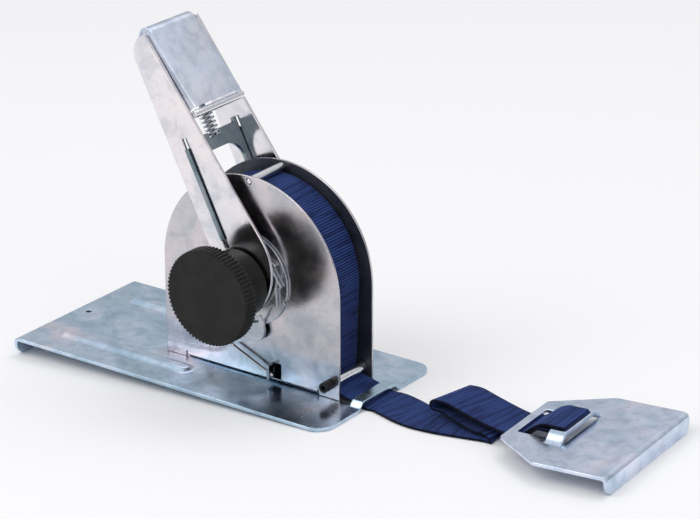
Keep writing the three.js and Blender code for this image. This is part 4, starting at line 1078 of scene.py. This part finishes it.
def grip_cover():
    """The channel's blank with the band's narrower blank at its tip."""
    edge = COVER_FLAT + COVER_RADIUS * QUARTER + COVER_FLANGE - COVER_BEND
    tip = COVER_TOP + BAND_RADIUS * BAND_SWEEP + BAND_END
    half = [(edge, 0, 1.5), (edge, COVER_TOP, 2), (COVER_FLAT, COVER_TOP), (COVER_FLAT, tip, 5)]
    other = [(-x, z, *fillet) for x, z, *fillet in reversed(half)]
    outline = rounded(other[-1:] + half + other[:-1])
    bends = COVER_FLAT + bend_rows(COVER_RADIUS, 6)
    along = np.arange(1.5, COVER_LENGTH - 1, WIDE)
    turns = COVER_TOP + bend_rows(BAND_RADIUS, 14, BAND_SWEEP)
    filling = np.concatenate([
        grid_points(bends, along), grid_points(-bends, along),
        grid_points(np.arange(-21.5, 22, WIDE), turns),
    ])
    sheet("grip_shell", "grip_cover", [outline], COVER_SHEET, cover_zinc, cover,
          cover_shape, 1.2, filling, 0.35)


def spring_seat():
    """A small level plate behind the crossbar, with the hole that the pawl's tongue goes through."""
    x, z = CROSSBAR
    back, half = SEAT_PLATE
    outline = box_outline(back, -half, x - CROSSBAR_DIAMETER / 2 - SEAT, half, 1)
    hole = box_outline(-2, -TONGUE_HALF - 0.5, 2, TONGUE_HALF + 0.5)
    sheet("spring_plate", "spring_seat", [outline, hole], SEAT_SHEET, dark_zinc, handle,
          lambda s, t, w: (s, t, z + w), edge=0.25)


def drive_pawl():
    """A flat plate: legs that reach down to both wheels, ears that run in the arm slots, a bar across
    with a horn at each end, and a tongue that holds the spring."""
    leg, tip, body, ear = SIDE_OUTER + 1, GUARD_INNER + GUARD_SHEET + 0.5, ARM_INNER - SEAT, ARM_OUTER + 2
    notch, depth = SPRING_NOTCH
    half = [
        (leg, BAR_INNER, 12), (leg, PAWL_SHOULDER, 0.5), (tip, PAWL_SHOULDER, 0.5), (tip, PAWL_TIP, 0.5),
        (ear, PAWL_TIP, 0.6), (ear, PAWL_EAR, 0.6), (body, PAWL_EAR, 0.5), (body, BAR_OUTER + HORN, 0.8),
        (body - HORN, BAR_OUTER + HORN, 0.8), (body - HORN, BAR_OUTER, 1.5), (notch, BAR_OUTER, 1),
        (notch, BAR_OUTER - depth, 0.5), (TONGUE_HALF, BAR_OUTER - depth, 0.5),
        (TONGUE_HALF, COVER_FOOT + TONGUE_REACH, 0.5),
    ]
    outline = rounded(half + [(-y, z, fillet) for y, z, fillet in reversed(half)])
    sheet("pawl_plate", "drive_pawl", [outline], PAWL_SHEET, pawl_zinc, handle,
          lambda s, t, w: (w, s, t), edge=0.35)


# Hook plate
def hook_shape(s, t, w):
    """A flat plate whose bar is raised by a smooth step at both ends and whose lip folds down."""
    height = BAR_RISE * ease((BAR_HALF - np.abs(t)) / (BAR_HALF - BAR_FLAT))
    raised = (s > BAR_START - SEAT / 2) & (s < BAR_END + SEAT / 2)
    bend = HOOK_LENGTH - LIP_BEND
    along, across = fold(s - bend, w, LIP_RADIUS, QUARTER)
    return bend + along, t, HOOK_TOP - HOOK_SHEET / 2 + across + np.where(raised, height, 0)


def hook_plate():
    """The blank narrows to its neck. The window's right side goes on as a slit beside the raised bar,
    another slit frees the bar's far side, and a slot in the bar takes the strap's return."""
    end = HOOK_LENGTH - LIP_BEND + LIP_RADIUS * QUARTER + HOOK_TOP - LIP_BEND
    outline = rounded(mirrored([
        (0, -HOOK_NECK, 2.5), (HOOK_SHOULDER, -HOOK_HALF, 2.5), (end, -HOOK_HALF, 8),
    ]))
    slit = BAR_START - SEAT
    left, half = HOOK_WINDOW
    window = rounded(mirrored([
        (left, -half, 1.5), (slit, -half), (slit, -BAR_HALF), (BAR_START, -BAR_HALF),
    ]))
    far_slit = mirrored([(BAR_END, -BAR_HALF), (BAR_END + SEAT, -BAR_HALF)])
    start = BAR_START + BAR_WIDTH
    length, slot_half = BAR_SLOT
    slot = box_outline(start, -slot_half, start + length, slot_half, 0.6)
    bar = grid_points(
        np.arange(BAR_START + 1.2, BAR_END - 0.9, 1.2), np.arange(-BAR_HALF + 0.5, BAR_HALF, 0.8))
    lip = grid_points(
        HOOK_LENGTH - LIP_BEND + bend_rows(LIP_RADIUS, 7), np.arange(-HOOK_HALF + 2, HOOK_HALF - 1, WIDE))
    sheet("hook_sheet", "hook_plate", [outline, window, far_slit, slot], HOOK_SHEET, hook_zinc, hook,
          hook_shape, 1.2, np.concatenate([bar, lip]), 0.4)


# Turned pieces
def top_bar():
    """A round bar with a shoulder at each plate and a riveted end."""
    end, inner = SIDE_OUTER + RIVET, SIDE_INNER - SEAT
    half = [
        (0, end), (BAR_TENON - 0.5, end), (BAR_TENON, end - 0.4), (BAR_TENON, inner), (BAR_BODY, inner),
    ]
    profile = soften([(r, -y) for r, y in half] + half[::-1], 0.25)
    revolve("riveted_top_bar", "top_spacer_bar", profile, (ARCH_X, SPACER_Z), bright)


def guide_pieces():
    """The tube that guides the strap, and its cap screw with a six-sided socket, washer and domed nut."""
    at = (GUIDE_X, GUIDE_Z)
    inner, face = SIDE_INNER - SEAT, SIDE_OUTER + SEAT
    tube_profile = ring_profile(GUIDE_BORE, GUIDE_RADIUS, -inner, inner, 0.5)
    revolve("polished_guide", "guide_tube", tube_profile, at, bright)

    head, height = SCREW_HEAD
    corner, flat, depth = SOCKET
    front = face + height
    screw = soften([
        (0, -front + depth), (corner, -front + depth), (corner, -front), (head, -front), (head, -face),
        (SCREW_RADIUS, -face), (SCREW_RADIUS, SCREW_END), (0, SCREW_END),
    ], 0.3)

    def in_socket(radius, y):
        """Flats inside the socket only."""
        return np.where((radius < corner + 0.1) & (y < -face - 1), flat, math.inf)
    revolve("cap_screw", "guide_screw", screw, at, oxide, shaped=six_flats(in_socket))

    bore, outer, thickness = WASHER
    washer = ring_profile(bore, outer, face, face + thickness, 0.2)
    revolve("thin_washer", "guide_washer", washer, at, bright)

    low = face + thickness + SEAT
    high = low + NUT_HEIGHT
    dome = arc(high + 0.5, 0, NUT_DOME, QUARTER - 0.15, 0, 0.2)[:, ::-1]
    nut = np.concatenate([[
        (0, low), (3.6, low), (NUT_CORNER, low + 0.45), (NUT_CORNER, high - 0.8), (NUT_DOME, high - 0.2),
    ], dome])
    nut[-1, 0] = 0
    revolve("domed_nut", "guide_nut", nut, at, bright, shaped=six_flats(NUT_HALF))


def grip_rod():
    """A plain round bar between the arms, its edges softened."""
    end = ARM_INNER - SEAT
    radius = CROSSBAR_DIAMETER / 2
    profile = soften([(0, -end), (radius, -end), (radius, end), (0, end)], 0.4)
    revolve("grip_rod", "handle_crossbar", profile, CROSSBAR, bright, handle)


def catch_pin(label, side):
    """A shouldered pin: tenon in the side plate, collar, bearing, and a slightly domed head."""
    face = SIDE_OUTER + SEAT
    edge, collar, length = PIN_COLLAR
    profile = np.array([
        (0, PIN_START), (PIN_TENON, PIN_START), (PIN_TENON, face), (edge, face), (collar, face + 0.2),
        (collar, face + length - 0.2), (edge, face + length), (PIN_BEARING, face + length),
        (PIN_BEARING, PIN_HEAD[0][1]), *PIN_HEAD,
    ]) * (1, side)
    revolve(f"catch_pin_{label}", f"holding_pawl_pin_{label}", profile, (CATCH_X, CATCH_Z), plain)


def shaft_washer():
    """A flat ring on the shaft behind the rear arm."""
    face = ARM_OUTER + SEAT
    bore, outer, thickness = SHAFT_WASHER
    profile = ring_profile(bore, outer, face, face + thickness)
    revolve("shaft_washer", "rear_washer", profile, (0, SHAFT_HEIGHT), bright, sides=72)


def knob():
    """A profile of (radius, y) turned about the shaft. On the rim the radius falls between ridges by
    the ridge depth times a smooth step of the distance from the ridge's middle."""
    outer = KNOB_RADIUS
    (bore, bore_end), (neck, straight), (start, rise) = HUB_BORE, HUB_SHOULDER, RIDGE_STEP
    profile = soften([
        (0, -HUB_BACK - bore_end), (bore, -HUB_BACK - bore_end), (bore, -HUB_BACK),
        (HUB_RADIUS, -HUB_BACK), (HUB_RADIUS, -HUB_BACK - straight),
        (neck, -KNOB_RIM_BACK), (outer, -KNOB_RIM_BACK),
        (outer, -KNOB_FRONT), *[(outer - inset, -KNOB_FRONT) for inset in RIM_INSETS], (0, -KNOB_FRONT),
    ], KNOB_ROUND)

    def ridged(radius, along, angle):
        off_middle = np.abs(((angle * KNOB_RIDGES / (2 * math.pi)) % 1) * 2 - 1)
        on_rim = ease((radius - outer + start) / rise) * (along < -KNOB_RIM_BACK + 0.5)
        return radius - RIDGE_DEPTH * on_rim * ease(1.6 * off_middle - 0.35)
    sides = KNOB_RIDGES * 8
    revolve("turning_knob", "knob", profile, (0, SHAFT_HEIGHT), knob_plastic, sides=sides, shaped=ridged)


def coil_path(radius, low, high, curls, steps=24):
    """A helix that lies flat over a share of a turn at each end and rises evenly between."""
    share = np.linspace(0, 1, int(curls * steps) + 1)
    angle = 2 * math.pi * curls * share
    flat = COIL_END / curls
    rise = (high - low) * np.clip((share - flat) / (1 - 2 * flat), 0, 1)
    return np.stack([radius * np.cos(angle), radius * np.sin(angle), low + rise], 1)


def drive_spring():
    """A coil from the drive pawl's notch up to the spring seat, placed in the handle's frame."""
    wire = SPRING_WIRE / 2
    low = BAR_OUTER - SPRING_NOTCH[1] + SEAT + wire
    high = CROSSBAR[1] - SEAT_SHEET / 2 - SEAT - wire
    coil = handle(coil_path(SPRING_RADIUS, low, high, SPRING_CURLS))
    piece = tube("pressure_spring", "drive_spring", coil, wire, spring_wire, 10)
    top, foot = handle([(0, 0, high), (0, 0, low)])
    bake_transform(piece)


def catch_spring(label, side):
    """A straight wire from the tab to the holding pawl."""
    ends = np.array([WIRE_FROM, WIRE_TO])
    share = np.linspace(0, 1, 24)[:, None]
    line = ends[0] + (ends[1] - ends[0]) * share
    path = np.column_stack([line[:, 0], np.full(len(line), side * WIRE_Y), line[:, 1]])
    points = machine(path)
    node = f"holding_pawl_spring_{label}"
    piece = tube(f"catch_wire_{label}", node, points, WIRE_DIAMETER / 2, spring_wire, 14)
    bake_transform(piece)


# Webbing
def resample(path, step):
    """The path's points taken anew at equal steps of length."""
    lengths = np.concatenate([[0], np.cumsum(np.linalg.norm(np.diff(path, axis=0), axis=1))])
    count = max(2, int(round(lengths[-1] / step)) + 1)
    places = np.linspace(0, lengths[-1], count)
    return np.stack([np.interp(places, lengths, column) for column in path.T], 1), places


def strap_section():
    """Half widths and heights of the strap's section: a flat oblong with rounded selvedges."""
    half, radius = STRAP_WIDTH / 2, STRAP_THICKNESS / 2 - THREAD_ROOM
    flat_part = np.linspace(half - radius, -half + radius, 15)
    right = arc(half - radius, 0, radius, -QUARTER, QUARTER, math.radians(36))
    left = arc(-half + radius, 0, radius, QUARTER, 1.5 * math.pi, math.radians(36))
    top = np.column_stack([flat_part[1:-1], np.full(13, radius)])
    bottom = np.column_stack([flat_part[::-1][1:-1], np.full(13, -radius)])
    return np.concatenate([right, top, left, bottom])


def webbing_strip(name, node, path, across, rides=True):
    """A ribbed strap: the section carried along the path, its thickness swelling by a sine of the
    length with one rib each pitch, less at the selvedges. UV is the place across and along, in metres."""
    path, places = resample(np.column_stack([path, across]), RIB_PITCH / RIB_STEPS)
    path, across = path[:, :3], path[:, 3:]
    along = np.gradient(path, axis=0)
    along /= np.linalg.norm(along, axis=1)[:, None]
    across /= np.linalg.norm(across, axis=1)[:, None]
    normal = np.cross(along, across)
    normal /= np.linalg.norm(normal, axis=1)[:, None]
    section = strap_section()
    ribs = RIB_SWELL * np.cos(2 * math.pi * places / RIB_PITCH)
    flatness = ease((STRAP_WIDTH / 2 - SELVEDGE[0] - np.abs(section[:, 0])) / SELVEDGE[1])
    thick = section[None, :, 1] * (1 + ribs[:, None] / (STRAP_THICKNESS / 2) * flatness[None])
    points = path[:, None] + across[:, None] * section[None, :, :1] + normal[:, None] * thick[..., None]
    faces = capped_faces(len(path), len(section))
    u = np.broadcast_to(section[None, :, 0], thick.shape) * MM
    v = np.broadcast_to(places[:, None], thick.shape) * MM
    uvs = np.stack([u, v], -1).reshape(-1, 2)
    piece = make_piece(name, node, points.reshape(-1, 3) * MM, faces, webbing, uvs=uvs, rides=rides)
    return piece, places[-1]


def flat_path(pairs):
    """Points (x, z) as points of the frame's middle plane."""
    pairs = np.asarray(pairs, float)
    return np.column_stack([pairs[:, 0], np.zeros(len(pairs)), pairs[:, 1]])


def straight_strip(name, node, path, place):
    """Webbing along a path in the middle plane of a local frame, square across that plane."""
    across = np.tile(place.rotation @ (0, 1, 0), (len(path), 1))
    webbing_strip(name, node, place(path) / MM, across)


def lead_route():
    """The strap from the roll over the drum, down to the guide, round it and out under the bridge."""
    lead_radius = ROLL_RADIUS + SEAT + STRAP_THICKNESS / 2
    guide = GUIDE_RADIUS + SEAT + STRAP_THICKNESS / 2
    dx, dz = GUIDE_X, GUIDE_Z - SHAFT_HEIGHT
    leave = math.atan2(dz, dx) + math.acos((lead_radius + guide) / math.hypot(dx, dz))
    end = BASE_REACH + LIP_BEND
    out = (end, -BASE_SHEET + STRAP_THICKNESS / 2 + LIP_BEND * LIP_DROP / BASE_LENGTH)
    under = (BASE_REACH - BRIDGE_INSET, BRIDGE_RISE - BASE_SHEET - STRAP_THICKNESS - 3 * SEAT)
    fall = math.atan2(GUIDE_Z - under[1], under[0] - GUIDE_X) - math.asin(
        guide / math.hypot(under[0] - GUIDE_X, GUIDE_Z - under[1]))
    return np.concatenate([
        arc(0, SHAFT_HEIGHT, lead_radius, LEAD_ANGLE, leave, math.radians(2)),
        arc(GUIDE_X, GUIDE_Z, guide, leave + math.pi, 1.5 * math.pi - fall, math.radians(6)),
        [under, ((under[0] + out[0]) / 2, (under[1] + out[1]) / 2 - SEAT), out],
    ])


def strap_roll():
    """The wound strap: a spiral that falls by one layer a turn, round a plain core."""
    step = (STRAP_THICKNESS + LAYER_GAP) / (2 * math.pi)
    turns = np.linspace(0, 2 * math.pi * ROLL_TURNS, ROLL_STEPS)
    radius = ROLL_RADIUS - STRAP_THICKNESS / 2 - step * turns
    angle = LEAD_ANGLE + turns
    spiral = np.stack([radius * np.cos(angle), SHAFT_HEIGHT + radius * np.sin(angle)], 1)
    straight_strip("wound_strap", "strap_roll", flat_path(spiral), machine)
    core = soften(CORE_PROFILE, 0.4, closed=True)
    revolve("wound_strap_core", "strap_roll", core, (0, SHAFT_HEIGHT), shaded_roll_side, sides=96, stands=False)


# How far the strap dips at the plate's edge, to clear the plate when it is lifted
LIFT_DIP = STRAP_THICKNESS / 2 + SEAT


def loop_route():
    """The sewn end: under the plate's edge, where it dips to clear the lifted plate, up over the bar,
    down its slot and back below itself."""
    wrap = SEAT + STRAP_THICKNESS / 2
    left, right = BAR_START, BAR_START + BAR_WIDTH
    top, underside = HOOK_TOP + BAR_RISE, HOOK_TOP + BAR_RISE - HOOK_SHEET
    layer = STRAP_THICKNESS + 2 * SEAT
    level = HOOK_TOP - HOOK_SHEET - wrap
    rise = top + wrap - level
    edge = HOOK_WINDOW[0]
    climb = [(edge + (left - edge) * along, level + up * rise) for along, up in CLIMB]
    back = [(x, z - layer - SEAT) for x, z in climb[1:-1][::-1]]
    return np.array([
        (SEAT, level - LIFT_DIP), (LOOP_DIP, level - LIFT_DIP / 2), *climb, (left, top + wrap),
        *arc(right, top, wrap, QUARTER, 0, 0.3), *arc(right, underside, wrap, 0, -QUARTER, 0.3),
        (left, underside - wrap), *back, *[(x, level - layer) for x in LOOP_TAIL],
    ])


def smooth_path(points, count):
    """A centripetal Catmull-Rom curve through the points, as dense points."""
    points = np.asarray(points, float)
    ends = np.concatenate([[2 * points[0] - points[1]], points, [2 * points[-1] - points[-2]]])
    gaps = np.maximum(np.linalg.norm(np.diff(ends[:, :3], axis=0), axis=1), 1e-6) ** 0.5
    knots = np.concatenate([[0], np.cumsum(gaps)])
    t = np.linspace(knots[1], knots[-2], count)
    i = np.clip(np.searchsorted(knots, t, "right") - 1, 1, len(ends) - 3)
    t = t[:, None]
    knot = [knots[i + k][:, None] for k in (-1, 0, 1, 2)]

    def mix(a, b, low, high):
        """Two rows of points mixed by where t lies between two knots."""
        low, high = knot[low], knot[high]
        return (high - t) / (high - low) * a + (t - low) / (high - low) * b
    four = [ends[i + k] for k in (-1, 0, 1, 2)]
    three = [mix(four[k], four[k + 1], k, k + 1) for k in range(3)]
    two = [mix(three[k], three[k + 1], k, k + 2) for k in range(2)]
    return mix(*two, 1, 2)


# The slack strap's three layers. Each row is (share of the gap between the base and the hook plate,
# place aside in strap widths, height in strap thicknesses).
LOWER_LAYER = [
    (0, 0, 0.5), (0.03, 0, 0.5), (0.13, -0.09, 0.5), (0.24, -0.21, 0.5), (0.35, -0.28, 0.5),
    (0.5, -0.26, 0.5), (0.66, -0.18, 0.5), (0.8, -0.1, 0.5),
]
MIDDLE_LAYER = [(0.8, -0.02, 2.55), (0.68, 0.1, 2.8), (0.56, 0.22, 3.6), (0.49, 0.28, 4.3)]
UPPER_LAYER = [(0.52, 0.27, 8.9), (0.62, 0.2, 8.1), (0.74, 0.12, 7), (0.86, 0.05, 6.0), (0.94, 0.03, 5.3)]
# Where the low fold and the high fold lie in the gap, their radii, and the points along each
FOLD_SHARE, CREST_SHARE, FOLD_RADIUS, CREST_RADIUS, FOLD_STEPS = 0.86, 0.41, 1.5, 3.6, 6


def run_route():
    """The slack in a flat Z, each row (x, y, z, yaw): three layers, a low fold and a high fold."""
    gap = HOOK_GAP - LIP_BEND
    hook_x, hook_y = hook_hinge[0] / MM, hook_hinge[1] / MM
    begin = hook_x - HOOK_GAP + LIP_BEND + 2 * SEAT
    y0 = shaft[1] / MM
    layers = []
    for rows in (LOWER_LAYER, MIDDLE_LAYER, UPPER_LAYER):
        share, aside, lift = np.array(rows, float).T
        x, y, z = begin + share * gap, aside * STRAP_WIDTH, lift * STRAP_THICKNESS + SEAT
        index = np.arange(len(x))
        before, after = np.maximum(index - 1, 0), np.minimum(index + 1, len(x) - 1)
        slope = (y[after] - y[before]) / (x[after] - x[before])
        layers.append(np.stack([x, y, z, np.arctan(slope)], 1))
    lower, middle, upper = layers

    def turn_over(first, second, x, z, radius, stop):
        """An arc from straight down to the stop, while the place aside and the yaw go from the one
        row's to the other's."""
        share = np.linspace(0, 1, FOLD_STEPS + 1)
        angle = -QUARTER + (stop + QUARTER) * share
        y = first[1] + (second[1] - first[1]) * share
        yaw = first[3] + (second[3] - first[3]) * share
        return np.stack([x + radius * np.cos(angle), y, z + radius * np.sin(angle), yaw], 1)

    low = turn_over(
        lower[-1], middle[0], begin + FOLD_SHARE * gap, lower[-1, 2] + FOLD_RADIUS, FOLD_RADIUS, QUARTER)
    crest = turn_over(
        middle[-1], upper[0], begin + CREST_SHARE * gap + CREST_RADIUS, (middle[-1, 2] + upper[0, 2]) / 2,
        CREST_RADIUS, -1.5 * math.pi)
    level = HOOK_TOP - HOOK_SHEET - SEAT - STRAP_THICKNESS / 2 - LIFT_DIP
    last = [
        (hook_x - before * math.cos(HOOK_YAW), hook_y - y0 - before * math.sin(HOOK_YAW), level, HOOK_YAW)
        for before in (STRAP_THICKNESS + SEAT, SEAT)
    ]
    rows = np.concatenate([lower, low, middle, crest, upper, last])
    rows[:, 1] += y0
    return rows


def strap_run():
    """The slack strap, its rulings level and square to the yaw of the path."""
    path = smooth_path(run_route(), RUN_STEPS)
    across = np.stack([-np.sin(path[:, 3]), np.cos(path[:, 3]), np.zeros(len(path))], 1)
    piece, length = webbing_strip("slack_strap", "strap_run", path[:, :3], across, rides=False)
    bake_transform(piece)


base_plate()
top_bar()
guide_pieces()
grip_rod()
shaft_washer()
for label, side in (("front", -1), ("rear", 1)):
    side_plate(label, side)
    catch_pin(label, side)
    guard_disc(label, side)
    ratchet_wheel(label, side)
    holding_pawl(label, side)
    handle_arm(label, side)
    catch_spring(label, side)
grip_cover()
spring_seat()
drive_pawl()
drive_spring()
hook_plate()
knob()
straight_strip("strap_over_drum", "strap_lead", flat_path(lead_route()), machine)
strap_roll()
strap_run()
straight_strip("sewn_loop", "strap_loop", smooth_path(flat_path(loop_route()), LOOP_STEPS), hook)


# Floor and light
FLOOR_HALF = 6.0
AIM = Vector((0, 0, 0.05))
# The walls' light from below to above, as stops (height, level), and the share by which it is bluer.
STUDIO = [(0.0, 0.4), (0.5, 0.42), (0.6, 0.56), (0.72, 0.60), (0.84, 0.78), (1.0, 0.85)]
STUDIO_BLUE = 1.03


def add_floor():
    """A plain pale floor: one square."""
    half = FLOOR_HALF
    mesh = bpy.data.meshes.new("floor")
    corners = [(-half, -half, 0), (half, -half, 0), (half, half, 0), (-half, half, 0)]
    mesh.from_pydata(corners, [], [(0, 1, 2, 3)])
    finish = Finish("floor", Roughness=0.9, Base_Color=(0.92, 0.92, 0.92, 1))
    mesh.materials.append(finish.material)
    add_object("floor", mesh)


def add_lamp(name, place, energy, size):
    """A soft oblong lamp aimed at the clamp."""
    data = bpy.data.lights.new(name, "AREA")
    data.energy = energy
    data.shape = "RECTANGLE"
    data.size, data.size_y = size
    lamp = add_object(name, data)
    lamp.location = place
    lamp.rotation_euler = (AIM - Vector(place)).to_track_quat("-Z", "Y").to_euler()


def add_world():
    """A soft studio: light that grows from below up to the ceiling, brightest overhead."""
    world = bpy.data.worlds.new("world")
    bpy.context.scene.world = world
    world.use_nodes = True
    tree = world.node_tree
    place = tree.nodes.new("ShaderNodeTexCoord")
    split = tree.nodes.new("ShaderNodeSeparateXYZ")
    height = tree.nodes.new("ShaderNodeMapRange")
    ramp = tree.nodes.new("ShaderNodeValToRGB")
    height.inputs["From Min"].default_value = -1
    fill_ramp(ramp.color_ramp, [(at, (level, level, level * STUDIO_BLUE)) for at, level in STUDIO])
    tree.links.new(place.outputs["Generated"], split.inputs[0])
    tree.links.new(split.outputs["Z"], height.inputs["Value"])
    tree.links.new(height.outputs[0], ramp.inputs["Fac"])
    tree.links.new(ramp.outputs["Color"], tree.nodes["Background"].inputs["Color"])


add_floor()
add_world()
add_lamp("key", (-1.0, -1.3, 1.7), 14, (1.4, 1.4))
add_lamp("fill", (1.7, -0.6, 1.1), 5, (1.2, 1.0))
add_lamp("back", (0.2, 1.0, 2.0), 6, (1.2, 0.8))

bpy.context.scene.view_settings.view_transform = "Standard"
